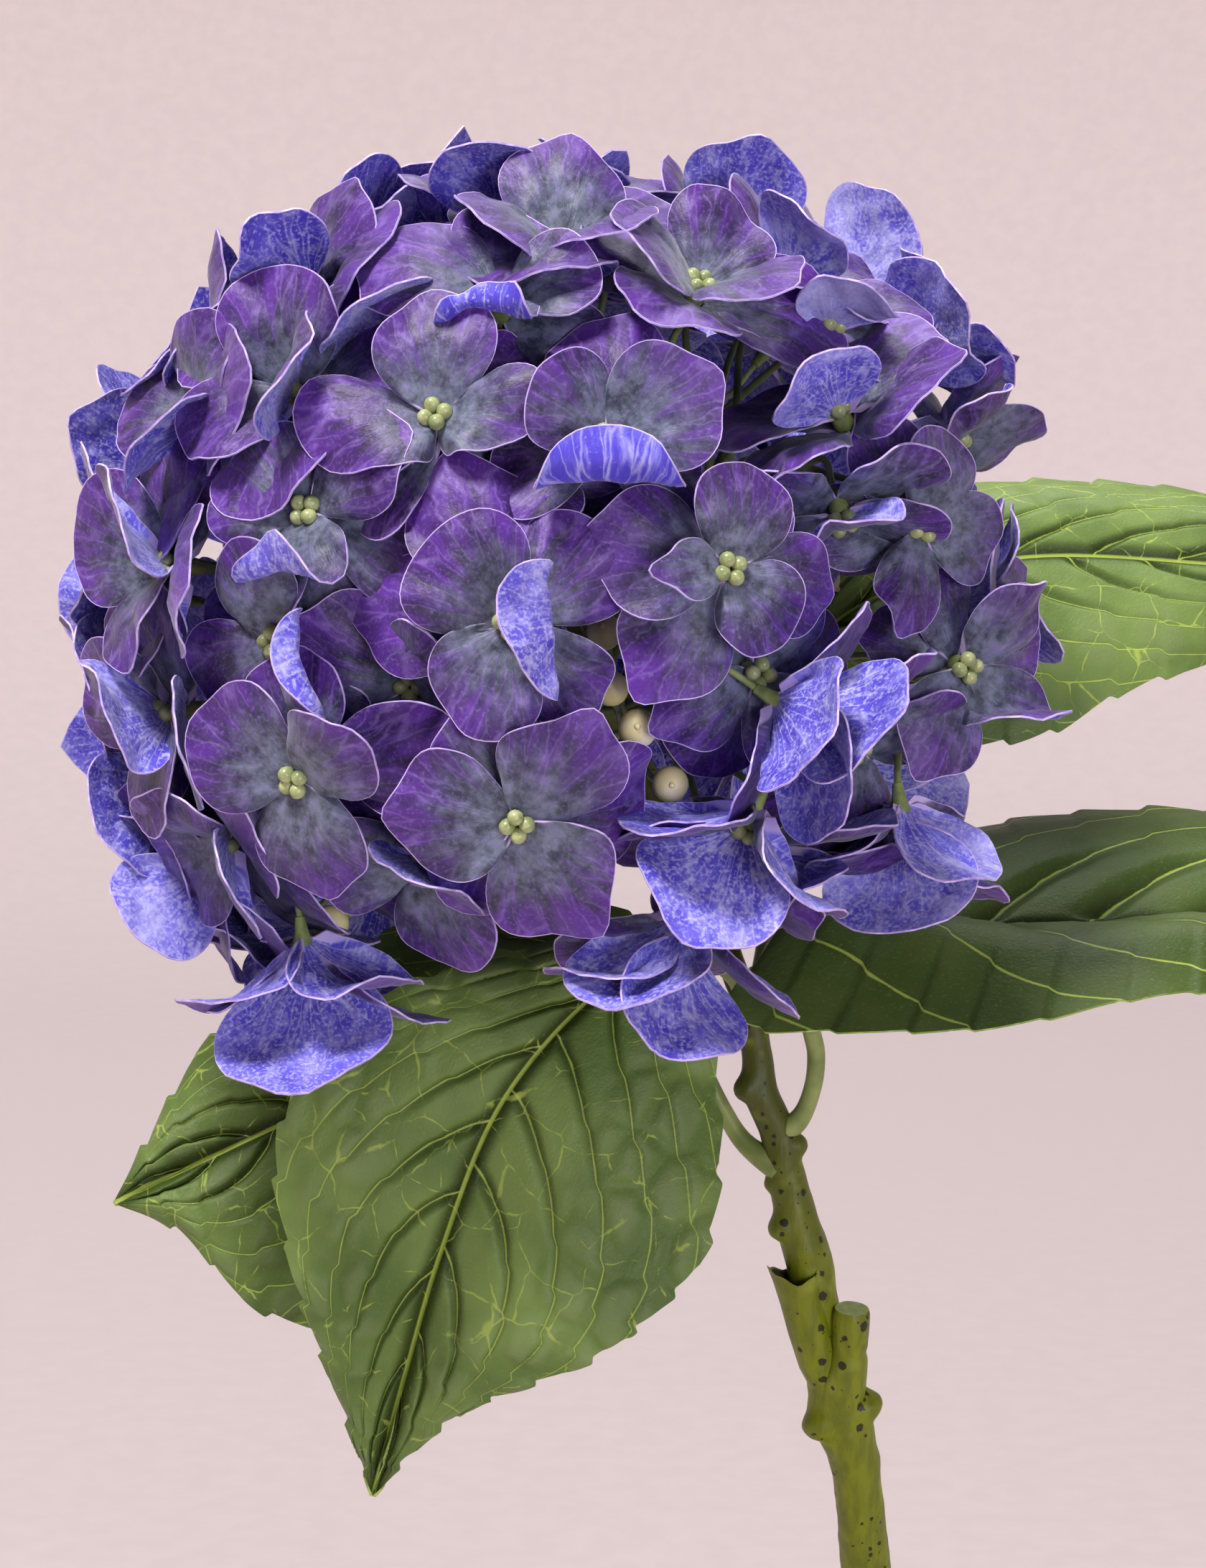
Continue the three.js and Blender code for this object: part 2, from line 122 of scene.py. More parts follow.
def joinParts(parts):
    # stacks (points, faces, face slots, attributes) of several parts into one
    points, faces, slots, attributes = [], [], [], {}
    start = 0
    for partPoints, partFaces, partSlots, partAttributes in parts:
        points.append(partPoints)
        faces.extend(tuple(start + i for i in face) for face in partFaces)
        slots.extend(partSlots)
        for label, values in partAttributes.items():
            attributes.setdefault(label, []).append(values)
        start += len(partPoints)
    return np.vstack(points), faces, slots, {k: np.concatenate(v) for k, v in attributes.items()}


def inSlot(shape, slot, attributes=None):
    # a part for joinParts with all its faces in one material slot
    points, faces = shape
    return points, faces, [slot] * len(faces), attributes or {}


def closedRings(rings):
    # a skin over rings of points, closed by a fan at both ends
    rings = np.asarray(rings)
    rows, sides = rings.shape[:2]
    points = np.vstack([rings.reshape(-1, 3), rings[0].mean(axis=0), rings[-1].mean(axis=0)])
    faces = gridQuads(rows, sides, closed=True)
    first = rows * sides
    for j in range(sides):
        k = (j + 1) % sides
        faces.append((first, k, j))
        faces.append((first + 1, first - sides + j, first - sides + k))
    return points, faces


def tube(path, radii, sides):
    centres = np.asarray(path, float)
    directions = np.gradient(centres, axis=0)
    directions /= np.linalg.norm(directions, axis=1)[:, None]
    side = unit(np.cross(directions[0], [0.31, 0.2, 0.93]))
    angles = np.linspace(0, 2 * np.pi, sides, endpoint=False)
    rings = []
    for centre, direction, radius in zip(centres, directions, radii):
        side = unit(side - direction * side.dot(direction))
        other = np.cross(direction, side)
        rings.append(centre + radius * (np.outer(np.cos(angles), side) + np.outer(np.sin(angles), other)))
    return closedRings(rings)


def ball(centre, radius, rows, sides, axis=(0, 0, 1), stretch=1.0):
    # a sphere, or an egg drawn out along its axis
    axis = unit(np.array(axis, float))
    side = unit(np.cross(axis, [0.3, 0.9, 0.31]))
    other = np.cross(axis, side)
    down = np.pi * np.arange(1, rows)[:, None, None] / rows
    turn = 2 * np.pi * np.arange(sides)[None, :, None] / sides
    rings = np.sin(down) * (np.cos(turn) * side + np.sin(turn) * other) - np.cos(down) * stretch * axis
    ends = [centre - axis * radius * stretch, centre + axis * radius * stretch]
    points = np.vstack([centre + radius * rings.reshape(-1, 3), ends])
    return points, closedRings(rings)[1]


def finishPiece(piece, slot, *nodes):
    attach(piece, "root")
    if nodes:
        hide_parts(*nodes)


def addNode(tree, kind, inputs=None, output=0, **settings):
    # adds a node with its settings, feeds it values or other nodes' outputs, and hands back one output
    node = tree.nodes.new("ShaderNode" + kind)
    for name, value in settings.items():
        setattr(node, name, value)
    for name, value in (inputs or {}).items():
        if isinstance(value, bpy.types.NodeSocket):
            tree.links.new(value, node.inputs[name])
        else:
            node.inputs[name].default_value = value
    return node.outputs[output]


def newMaterial(name, roughness, ior=1.45):
    material = bpy.data.materials.new(name)
    material.use_nodes = True
    shader = material.node_tree.nodes["Principled BSDF"]
    shader.inputs["Roughness"].default_value = roughness
    shader.inputs["IOR"].default_value = ior
    return material, material.node_tree, shader


def paintLayers(tree, base, layers):
    # lays colours over a base, each from one strength to another while its pattern runs between two values
    colour = base if isinstance(base, bpy.types.NodeSocket) else hexToLinear(base)
    for pattern, low, high, atLow, atHigh, paint in layers:
        paint = paint if isinstance(paint, bpy.types.NodeSocket) else hexToLinear(paint)
        strength = addNode(tree, "MapRange", {0: pattern, 1: low, 2: high, 3: atLow, 4: atHigh},
                           interpolation_type="SMOOTHSTEP")
        colour = addNode(tree, "Mix", {0: strength, 6: colour, 7: paint}, 2, data_type="RGBA")
    return colour


def dressShader(tree, shader, colour, relief, strength, depthMm):
    normal = addNode(tree, "Bump", {"Height": relief, "Strength": strength, "Distance": depthMm * mm})
    tree.links.new(colour, shader.inputs["Base Color"])
    tree.links.new(normal, shader.inputs["Normal"])


# petals

petalLook = {
    "purple": "#2c114f",        # the face towards its margin
    "brightPurple": "#5d2b9a",  # where the face catches more colour
    "darkPurple": "#100624",
    "slate": "#667084",         # grey-green throat of the face
    "darkSlate": "#293141",
    "lilac": "#9078c2",         # fine veins and haze of the face
    "rim": "#cdb9ec",
    "rimShade": "#9a86c8",
    "blue": "#4134b8",          # the back
    "paleBlue": "#7069dd",
    "haze": "#cdccf8",          # whitish veins and speckle of the back
    "roughness": 0.5,
    "mottleMm": 2.6,
    "grainMm": 0.6,
    "rimMm": 0.22,
    "throatMm": 13.0,           # how far the grey reaches from the eye
}


def petalPatterns(tree):
    # the petal laid flat in mm, the same as angle and reach, and the clouds and streaks made from them
    place = addNode(tree, "Attribute", output="Vector", attribute_name="petalMm")
    fan = addNode(tree, "Attribute", output="Vector", attribute_name="petalFan")
    edge = addNode(tree, "Attribute", output="Fac", attribute_name="petalEdge")
    mottle = addNode(tree, "TexNoise", {"Vector": place, "Scale": 1 / petalLook["mottleMm"], "Detail": 5.0,
                                        "Roughness": 0.62})
    drift = addNode(tree, "TexNoise", {"Vector": place, "Scale": 0.22, "Detail": 2.0}, 1)
    bent = addNode(tree, "MixRGB", {0: 0.14, 1: fan, 2: drift})
    fine = addNode(tree, "VectorMath", {0: bent, 1: (8.0, 0.09, 1.0)}, operation="MULTIPLY")
    streak = addNode(tree, "TexNoise", {"Vector": fine, "Scale": 1.0, "Detail": 4.0, "Roughness": 0.62})
    branching = addNode(tree, "VectorMath", {0: bent, 1: (7.0, 0.07, 1.0)}, operation="MULTIPLY")
    lines = addNode(tree, "TexVoronoi", {"Vector": branching, "Scale": 1.0}, feature="DISTANCE_TO_EDGE")
    veins = addNode(tree, "Math", {0: mottle, 1: -0.16, 2: lines}, operation="MULTIPLY_ADD")
    reach = addNode(tree, "SeparateXYZ", {0: fan}, 1)
    grain = addNode(tree, "TexNoise", {"Vector": place, "Scale": 1 / petalLook["grainMm"], "Detail": 2.0})
    return place, reach, edge, mottle, streak, veins, grain


def makePetalFace():
    # living petal skin, velvety: soft sheen and no mirror gloss, grey at the throat and deep violet outside
    material, tree, shader = newMaterial("petal face, velvety skin", petalLook["roughness"])
    _, reach, edge, mottle, streak, veins, grain = petalPatterns(tree)
    tone = addNode(tree, "Attribute", output="Fac", attribute_name="petalTone")
    shadowed = paintLayers(tree, petalLook["darkSlate"], [(mottle, 0.3, 0.64, 0.0, 1.0, petalLook["slate"])])
    outward = addNode(tree, "Math", {0: reach, 1: 0.016, 2: streak}, operation="MULTIPLY_ADD")
    throat = addNode(tree, "Math", {0: streak, 1: 12.0, 2: reach}, operation="MULTIPLY_ADD")
    throat = addNode(tree, "Math", {0: throat, 1: tone}, operation="ADD")
    farVeins = addNode(tree, "Math", {0: reach, 1: -0.002, 2: veins}, operation="MULTIPLY_ADD")
    greyTo = petalLook["throatMm"] + 6.0
    colour = paintLayers(tree, petalLook["darkPurple"], [
        (mottle, 0.28, 0.6, 0.0, 1.0, petalLook["purple"]),
        (outward, 0.55, 0.95, 0.0, 0.75, petalLook["brightPurple"]),
        (throat, greyTo - 10.0, greyTo + 3.0, 1.0, 0.0, shadowed),
        (mottle, 0.54, 0.78, 0.0, 0.3, petalLook["lilac"]),
        (farVeins, -0.13, -0.04, 0.28, 0.0, petalLook["lilac"]),
        (grain, 0.5, 0.8, 0.0, 0.3, petalLook["lilac"]),
        (edge, 0.05, petalLook["rimMm"], 0.9, 0.0, petalLook["rim"]),
    ])
    relief = addNode(tree, "Math", {0: streak, 1: 0.7, 2: mottle}, operation="MULTIPLY_ADD")
    dressShader(tree, shader, colour, relief, 0.4, 0.6)
    shader.inputs["Sheen Weight"].default_value = 0.2
    shader.inputs["Sheen Roughness"].default_value = 0.4
    return material


def makePetalBack():
    # the petal's underside: bluer, with a whitish bloom that fans out along the veins
    material, tree, shader = newMaterial("petal back, frosted skin", petalLook["roughness"] + 0.05)
    place, reach, edge, mottle, streak, veins, grain = petalPatterns(tree)
    pale = addNode(tree, "Attribute", output="Fac", attribute_name="petalPale")
    cloud = addNode(tree, "TexNoise", {"Vector": place, "Scale": 0.11, "Detail": 3.0})
    light = addNode(tree, "Math", {0: pale, 1: 0.35, 2: cloud}, operation="MULTIPLY_ADD")
    nearVeins = addNode(tree, "Math", {0: reach, 1: 0.0035, 2: veins}, operation="MULTIPLY_ADD")
    frost = addNode(tree, "Math", {0: pale, 1: 0.1, 2: mottle}, operation="MULTIPLY_ADD")
    speckle = addNode(tree, "Math", {0: pale, 1: 0.1, 2: grain}, operation="MULTIPLY_ADD")
    colour = paintLayers(tree, petalLook["blue"], [
        (light, 0.4, 0.85, 0.0, 1.0, petalLook["paleBlue"]),
        (streak, 0.45, 0.75, 0.0, 0.5, petalLook["paleBlue"]),
        (streak, 0.52, 0.8, 0.0, 0.5, petalLook["haze"]),
        (nearVeins, -0.08, 0.05, 0.5, 0.0, petalLook["haze"]),
        (frost, 0.5, 0.75, 0.0, 0.4, petalLook["haze"]),
        (speckle, 0.5, 0.72, 0.0, 0.5, petalLook["haze"]),
        (light, 0.62, 1.0, 0.0, 0.6, petalLook["haze"]),
        (edge, 0.05, petalLook["rimMm"], 0.9, 0.0, petalLook["rim"]),
    ])
    relief = addNode(tree, "Math", {0: streak, 1: 0.8, 2: mottle}, operation="MULTIPLY_ADD")
    dressShader(tree, shader, colour, relief, 0.5, 0.6)
    shader.inputs["Sheen Weight"].default_value = 0.15
    return material


def makePetalRim():
    # the cut-thin edge, where the skin has no pigment
    material, tree, shader = newMaterial("petal rim, pale edge", 0.5)
    place = addNode(tree, "Attribute", output="Vector", attribute_name="petalMm")
    patch = addNode(tree, "TexNoise", {"Vector": place, "Scale": 0.5, "Detail": 3.0})
    colour = paintLayers(tree, petalLook["rim"], [(patch, 0.35, 0.7, 0.0, 1.0, petalLook["rimShade"])])
    dressShader(tree, shader, colour, patch, 0.2, 0.1)
    return material


eyeLook = {"bead": "#7c875a", "beadLight": "#adb580", "stalk": "#5d6b3c", "stalkLight": "#8b9a5a"}


def makeWaxyGreen(name, dark, light, scaleMm, roughness):
    # waxy living tissue: smooth, small bright highlights
    material, tree, shader = newMaterial(name, roughness)
    place = addNode(tree, "TexCoord", output="Object")
    patch = addNode(tree, "TexNoise", {"Vector": place, "Scale": 1000 / scaleMm, "Detail": 3.0})
    dressShader(tree, shader, paintLayers(tree, dark, [(patch, 0.3, 0.7, 0.0, 1.0, light)]), patch, 0.3, 0.3)
    return material


def bendX(points, curvature):
    if abs(curvature) < 1e-5:
        return points
    x, y, z = points.T
    turn = curvature * x
    radius = 1 / curvature
    return np.column_stack([(radius - z) * np.sin(turn), y, radius - (radius - z) * np.cos(turn)])


def bendY(points, curvature):
    return bendX(points[:, [1, 0, 2]], curvature)[:, [1, 0, 2]]


def curlOver(points, towards, start, radius, most):
    # rolls up what lies past a straight line, most degrees at most; towards is in degrees off the middle
    a = math.radians(towards)
    way = np.array([math.cos(a), math.sin(a)])
    along, lift = points[:, :2] @ way, points[:, 2]
    past = np.maximum(along - start, 0)
    turn = np.minimum(past / radius, math.radians(most))
    rest = past - turn * radius
    rolled = start + (radius - lift) * np.sin(turn) + rest * np.cos(turn)
    height = radius - (radius - lift) * np.cos(turn) + rest * np.sin(turn)
    out = points.copy()
    out[:, :2] += np.outer(np.where(past > 0, rolled - along, 0), way)
    out[:, 2] = np.where(past > 0, height, lift)
    return out


petalShape = {
    "skew": 0.0, "point": 0.0,                         # outline: longer to one side, or drawn to a tip
    "square": 3.0,                                     # how straight the far edge runs before it rounds off
    "arch": -0.012, "cup": 0.012, "roll": 5.0,         # 1/mm along, 1/mm across, degrees
    "droop": 1.2, "ruffle": 0.55, "waves": 1.6, "phase": 0.0,
    "buckle": 0.22,                                    # mm, small dents all over
    "curls": [], "tone": 0.0, "pale": 0.0,
    "thickness": 0.3,
}


def petalPart(turn, length, halfFan, rise, shape, lift, rows, columns):
    # one petal, its root at the eye: degrees, mm, degrees, degrees
    s = {**petalShape, **shape}
    phase, waves = s["phase"], s["waves"]
    t = np.sin(np.linspace(-1, 1, columns) * np.pi / 2)[None, :]
    share = np.linspace(0.05, 1, rows)[:, None] ** 0.85
    outline = 0.14 + 0.86 * (1 - np.abs(t) ** s["square"]) ** 0.6
    outline = outline + s["point"] * np.exp(-(t / 0.18) ** 2) + s["skew"] * t * (1 - t * t)
    outline = length * (outline + 0.02 * np.sin(4.7 * t + 3 * phase) * (1 - t * t))
    angle = math.radians(halfFan) * t
    reach = share * outline
    x, y = reach * np.cos(angle), reach * np.sin(angle)
    sideGap = reach * np.sin(np.minimum(math.radians(halfFan) * (1 - np.abs(t)), 1.5))
    edge = np.minimum((1 - share) * outline, sideGap)
    ruffle = np.sin(waves * 3.1 * t + phase) + 0.35 * np.sin(waves * 6.7 * t + 2.1 * phase)
    z = s["ruffle"] * smoothStep(0.35, 1.0, share) * ruffle
    z = z - s["droop"] * smoothStep(0.55, 1.05, share) * (1 - 0.5 * np.sin(2.2 * t + phase))
    dents = np.sin(0.8 * x + 2.3 * phase) * np.sin(0.9 * y + phase)
    z = z + s["buckle"] * dents * smoothStep(0.1, 0.5, share)
    points = np.column_stack([x.ravel(), y.ravel(), z.ravel()])
    for curl in s["curls"]:
        points = curlOver(points, *curl)
    points = bendX(bendY(points, s["cup"]), s["arch"])
    turns = [(turn, "Z"), (-rise, "Y"), (s["roll"], "X")]
    spin, tip, roll = (np.array(Matrix.Rotation(math.radians(a), 3, axis)) for a, axis in turns)
    points = points @ (spin @ tip @ roll).T + [0, 0, lift]
    own = np.full(x.size, 13.7 * phase + turn)  # no two petals share a place in the patterns
    marks = {
        "petalMm": np.column_stack([x.ravel(), y.ravel(), own]),
        "petalFan": np.column_stack([(angle + 0 * x).ravel(), reach.ravel(), own]),
        "petalEdge": edge.ravel(),
        "petalTone": np.full(x.size, s["tone"]),
        "petalPale": np.full(x.size, s["pale"]),
    }
    return thinShell(points, rows, columns, marks, s["thickness"])


def thinShell(points, rows, columns, marks, thickness):
    # gives a patch its thickness: upper side, underside and rim
    grid = points.reshape(rows, columns, 3)
    normals = np.cross(np.gradient(grid, axis=0), np.gradient(grid, axis=1)).reshape(-1, 3)
    normals /= np.maximum(np.linalg.norm(normals, axis=1), 1e-9)[:, None]
    both = np.vstack([points + thickness / 2 * normals, points - thickness / 2 * normals])
    count = rows * columns
    upper = gridQuads(rows, columns)
    lower = [(a + count, d + count, c + count, b + count) for a, b, c, d in upper]
    rim = [(a, a + count, b + count, b) for a, b in borderEdges(rows, columns)]
    faces = [(a, d, c, b) for a, b, c, d in upper] + [tuple(reversed(face)) for face in lower]
    faces += [tuple(reversed(face)) for face in rim]
    slots = [0] * len(upper) + [1] * len(lower) + [2] * len(rim)
    return both, faces, slots, {label: np.concatenate([v, v]) for label, v in marks.items()}


def plainPart(shape, slot):
    # a part of the floret that isn't a petal
    count = len(shape[0])
    marks = {
        "petalMm": np.zeros((count, 3)), "petalFan": np.zeros((count, 3)), "petalEdge": np.full(count, 9.0),
        "petalTone": np.zeros(count), "petalPale": np.zeros(count),
    }
    return inSlot(shape, slot, marks)


def directionAt(longitude, latitude):
    lon, lat = math.radians(longitude), math.radians(latitude)
    return np.array([math.cos(lat) * math.sin(lon), -math.cos(lat) * math.cos(lon), math.sin(lat)])


toViewer = np.array([0.0, -0.9925, 0.1219])  # from the head to the camera

# The florets of the front. "at" is longitude from the front towards +X, latitude, and how far the eye stands
# from the head's centre in mm. "facing" turns the floret from straight outwards: the way it looks in the
# front view, degrees, and how far it comes round to the viewer, degrees. A petal is the way it points,
# degrees, its length in mm, half its fan in degrees and its rise in degrees, then what is its own. It points
# from the right of the front view, or from the side nearest the viewer on a floret that looks away by more
# than 45 degrees.
florets = {
    "a": {
        "at": (-14, 26, 74),
        "inner": [(88, 18, 56, 34, {"point": 0.12}), (202, 17.5, 66, 28, {"skew": -0.9}),
                  (-26, 14, 64, 28, {"skew": 0.9})],
        "outer": [(152, 22, 40, 8), (215, 20, 45, 2), (36, 19, 46, 8)],
    },
    "f": {
        "at": (7, 23, 74),
        "inner": [(140, 15, 62, 36), (28, 17.5, 62, 32),
                  (270, 18, 72, 24, {"curls": [(0, 5.5, 3.4, 165)], "pale": -1.3})],
        "outer": [(90, 23, 44, 18), (198, 18, 42, 2), (-20, 19, 42, 0)],
    },
    "g": {
        "at": (-8, 42, 73),
        "inner": [(146, 23, 54, 26), (14, 16, 52, 22),
                  (258, 15, 60, 46, {"curls": [(0, 10.2, 1.4, 140)], "pale": -0.6})],
        "outer": [(200, 23, 44, 4), (-25, 18, 46, 2), (82, 21, 46, 14)],
    },
    "b": {
        "at": (-4, 3, 76),
        "inner": [(130, 18, 66, 20, {"arch": -0.03, "cup": -0.012}),
                  (243, 17, 60, 18, {"arch": -0.03, "cup": -0.01}),
                  (-6, 19, 66, 22, {"curls": [(8, 4.5, 2.6, 112)], "pale": 0.3})],
        "outer": [(110, 24.5, 46, 4), (42, 20, 50, 8), (-52, 17.5, 44, 2), (174, 24, 42, -2)],
    },
    "c": {
        "at": (20, 8.5, 75),
        "inner": [(76, 16, 58, 24), (182, 11, 46, 30, {"point": 0.3}), (-46, 13.5, 64, 18)],
        "outer": [(168, 18.5, 62, 6), (-8, 19, 44, 4), (238, 19.5, 48, 0), (58, 17, 44, 2)],
    },
    "d": {
        "at": (-3.5, -18.4, 78),
        "inner": [(178, 17.5, 66, 16), (58, 19, 54, 22, {"skew": -0.2}), (303, 19, 66, 18, {"skew": -0.25})],
        "outer": [(118, 18, 52, 4), (-4, 22, 50, 2), (243, 22, 48, 2)],
    },
    "e": {
        "at": (-30, -15, 76),
        "inner": [(160, 18, 66, 16), (42, 17.5, 54, 28, {"point": 0.12}), (280, 18, 66, 18)],
        "outer": [(103, 18, 52, 4), (18, 24.5, 38, 6, {"point": 0.1}), (215, 21, 46, 0)],
    },
    "h": {
        "at": (-29.5, 15, 73),
        "inner": [(143, 18, 66, 18, {"arch": -0.026}), (26, 19, 46, 22),
                  (268, 17, 62, 34, {"curls": [(-10, 10, 1.8, 130)], "pale": 0.2})],
        "outer": [(215, 19, 48, 0), (80, 18, 48, 8), (-28, 20, 44, 0)],
    },
    "i": {
        "at": (-34, 0, 71),
        "inner": [(222, 19.5, 64, 12, {"tone": 3}), (110, 16, 54, 24),
                  (338, 17, 60, 40, {"curls": [(30, 9, 2.0, 100)], "pale": 0.1})],
        "outer": [(166, 20, 46, 2), (285, 19, 46, 0), (50, 18, 46, 2)],
    },
    "v": {
        "at": (57, -4, 75), "facing": (-10, 62),
        "inner": [(236, 17, 50, 20), (48, 16, 46, 30), (-52, 18.5, 50, 16, {"curls": [(-40, 5, 2.5, 110)]})],
        "outer": [(100, 15, 44, 6), (12, 20, 46, 2), (262, 17, 40, 0, {"tone": 5}), (160, 15, 40, 2)],
    },
    "u": {
        "at": (52, 13, 72), "facing": (10, 60),
        "inner": [(72, 16, 48, 30), (-8, 15, 52, 18), (250, 16, 40, 26)],
        "outer": [(110, 18, 46, 8), (20, 16, 46, 2), (-60, 15, 46, 2), (180, 16, 46, 2)],
    },
    "s": {
        "at": (46, 27, 70), "facing": (118, 22),
        "inner": [(-8, 19, 54, 62, {"pale": 0.25}), (118, 22, 56, 30), (238, 20, 56, 30)],
        "outer": [(56, 21, 50, 30), (178, 23, 52, 20), (300, 20, 50, 30)],
    },
    "s2": {
        "at": (52, 40, 70), "facing": (70, 25),
        "inner": [(10, 17, 52, 58, {"pale": 0.9}), (130, 18, 54, 30), (250, 18, 54, 30)],
        "outer": [(70, 19, 50, 26), (190, 20, 50, 16), (310, 19, 50, 26)],
    },
    "t": {
        "at": (44, 17, 66), "facing": (-75, 42),
        "inner": [(0, 16, 56, 60, {"pale": 0.3}), (120, 18, 56, 26), (240, 17, 56, 26)],
        "outer": [(60, 17, 50, 26), (180, 19, 54, 6), (300, 18, 50, 22)],
    },
    "w": {
        "at": (27, -4, 66),
        "inner": [(203, 16.5, 46, 14), (300, 18, 54, 26), (60, 15, 50, 20)],
        "outer": [(245, 18, 46, 4), (130, 13, 46, 2), (350, 19, 50, 6)],
    },
    "w2": {
        "at": (28, -7, 73), "facing": (-32, 6),
        "inner": [(-26, 21, 60, 60, {"pale": 0.1}), (40, 22, 60, 64, {"pale": 0.2}), (180, 17, 56, 24)],
        "outer": [(100, 20, 54, 34, {"tone": 5}), (240, 21, 56, 34), (6, 22, 54, 44)],
    },
    "x": {
        "at": (26, -21, 73), "facing": (240, 12),
        "inner": [(-2, 22, 62, 70, {"pale": 0.3}), (98, 22, 50, 50), (236, 20, 56, 40)],
        "outer": [(48, 22, 54, 44), (176, 18, 52, 16), (290, 22, 54, 46)],
    },
    "y": {
        "at": (52, -22, 74), "facing": (-84, 8),
        "inner": [(10, 21, 66, 76, {"pale": 0.6}), (-98, 19, 56, 56), (138, 18, 54, 32)],
        "outer": [(-48, 21, 56, 52), (72, 21, 56, 52), (196, 18, 52, 16)],
    },
    "z": {
        "at": (19, -36, 74), "facing": (-108, 14),
        "inner": [(58, 21, 56, 56, {"tone": 4}), (-30, 22, 58, 66, {"pale": 0.2}), (180, 18, 54, 24)],
        "outer": [(20, 23, 54, 58, {"pale": 0.3}), (112, 21, 50, 44), (-92, 23, 48, 40, {"pale": 0.4})],
    },
    "x2": {
        "at": (37, -30, 66), "facing": (-70, 20),
        "inner": [(10, 20, 58, 50, {"pale": -0.2}), (128, 20, 54, 40), (246, 20, 54, 40)],
        "outer": [(68, 21, 54, 30), (186, 20, 54, 20), (304, 21, 54, 30)],
    },
    "y2": {
        "at": (45, -14, 66), "facing": (-40, 30),
        "inner": [(0, 20, 58, 44), (120, 20, 54, 36), (240, 20, 54, 36)],
        "outer": [(60, 21, 54, 24), (180, 20, 54, 18), (300, 21, 54, 24)],
    },
    "r": {
        "at": (-46, -42, 74), "facing": (-84, 8),
        "inner": [(2, 26, 62, 74, {"pale": 0.2}), (-104, 23, 54, 52), (110, 20, 54, 46)],
        "outer": [(-50, 23, 56, 52), (56, 22, 54, 52), (184, 19, 54, 20)],
    },
    "r2": {
        "at": (84, 25, 71), "facing": (-42, 30),
        "inner": [(-20, 17, 46, 40), (100, 20, 44, 46, {"tone": 4}), (220, 17, 52, 30)],
        "outer": [(50, 17, 48, 26), (160, 18, 48, 20), (280, 17, 48, 24)],
    },
}
# florets of the front and its edges with drawn petals: longitude, latitude and radius as above
plainFlorets = {
    "t1": (-23, 72, 65), "t2": (37, 76, 62), "t3": (2, 56, 69), "t4": (27, 47, 70), "t5": (82, 66, 63),
    "t6": (60, 52, 67), "t7": (88, 48, 68), "r1": (84, 36, 70), "l1": (-73, 62, 65), "l2": (-48, 46, 71),
    "l3": (-72, 38, 67), "l4": (-38, 30, 71), "l5": (-56, 26, 71), "l6": (-83, 21, 66), "l7": (-76, 9, 67),
    "l9": (-81, -8, 66), "l10": (-76, -24, 67), "l11": (-68, -34, 70), "l12": (-76, -50, 68),
    "l13": (-54, 8, 72), "l14": (-55, -10, 72), "l15": (-52, -27, 70), "back0": (146, -26, 66),
    "backLow": (116, -26, 64), "d3": (-21, -32, 63), "d4": (-30, 42, 64), "d5": (-29, 26, 62),
    "d6": (-4, 22, 61), "d8": (-19, -6, 62), "side1": (-99, 21, 67), "side2": (-101, 1, 66),
}
hiddenFlorets = {"count": 104, "apart": 16.5, "radii": (70, 68, 66), "flatter": 8}  # degrees, mm, mm
goldenAngle = 137.508  # degrees
# where no floret stands, and how many degrees stay open round it: the stem, the upper leaf, the front leaf
openWays = [((105, -64), 47), ((112, 2), 28), ((-22, -64), 12)]


def degreesApart(a, b):
    return math.degrees(math.acos(max(-1, min(1, float(np.dot(a, b))))))


def placeFlorets():
    # every floret by its name: those that show, then a golden-angle spiral over the sides that don't
    placed = {**florets, **{name: {"at": at} for name, at in plainFlorets.items()}}
    shown = [directionAt(*own["at"][:2]) for own in placed.values()]
    count, found = hiddenFlorets["count"], 0
    for i in range(count):
        latitude = math.degrees(math.asin(1 - (2 * i + 1) / count))
        longitude = (i * goldenAngle) % 360 - 180
        way = directionAt(longitude, latitude)
        clear = all(degreesApart(way, other) > hiddenFlorets["apart"] for other in shown)
        if clear and all(degreesApart(way, directionAt(*at)) > gap for at, gap in openWays):
            radius = hiddenFlorets["radii"][i % 3] - hiddenFlorets["flatter"] * smoothStep(20, 80, latitude)
            found += 1
            placed[f"back{found}"] = {"at": (longitude, latitude, radius)}
    return placed


draw = np.random.default_rng(7)


def varied(shape=None):
    # what differs from petal to petal where nothing is set
    drawn = {
        "arch": -0.024 + draw.uniform(-0.014, 0.012), "cup": 0.008 + draw.uniform(-0.018, 0.018),
        "roll": draw.uniform(2, 9), "skew": draw.uniform(-0.2, 0.2),
        "point": draw.choice([0, 0.04, 0.1, 0.16]), "ruffle": draw.uniform(0.5, 1.4),
        "waves": draw.uniform(1.0, 2.0), "phase": draw.uniform(0, 6.28), "droop": draw.uniform(0.4, 1.8),
        "tone": draw.uniform(-2.5, 3.0), "pale": 0.7 * draw.uniform(0, 1) ** 3,
    }
    return {**drawn, **(shape or {})}


# the height of the petals' roots in mm, then drawn petals: degrees past the inner whorl, mm, degrees of rise,
# and how many more where the petal stands nearest the viewer
whorlShape = {
    "inner": {"lift": 1.6, "turn": 0, "length": 18.5, "rise": 40, "raised": 40},
    "outer": {"lift": -1.3, "turn": 60, "length": 22, "rise": 18, "raised": 34},
}


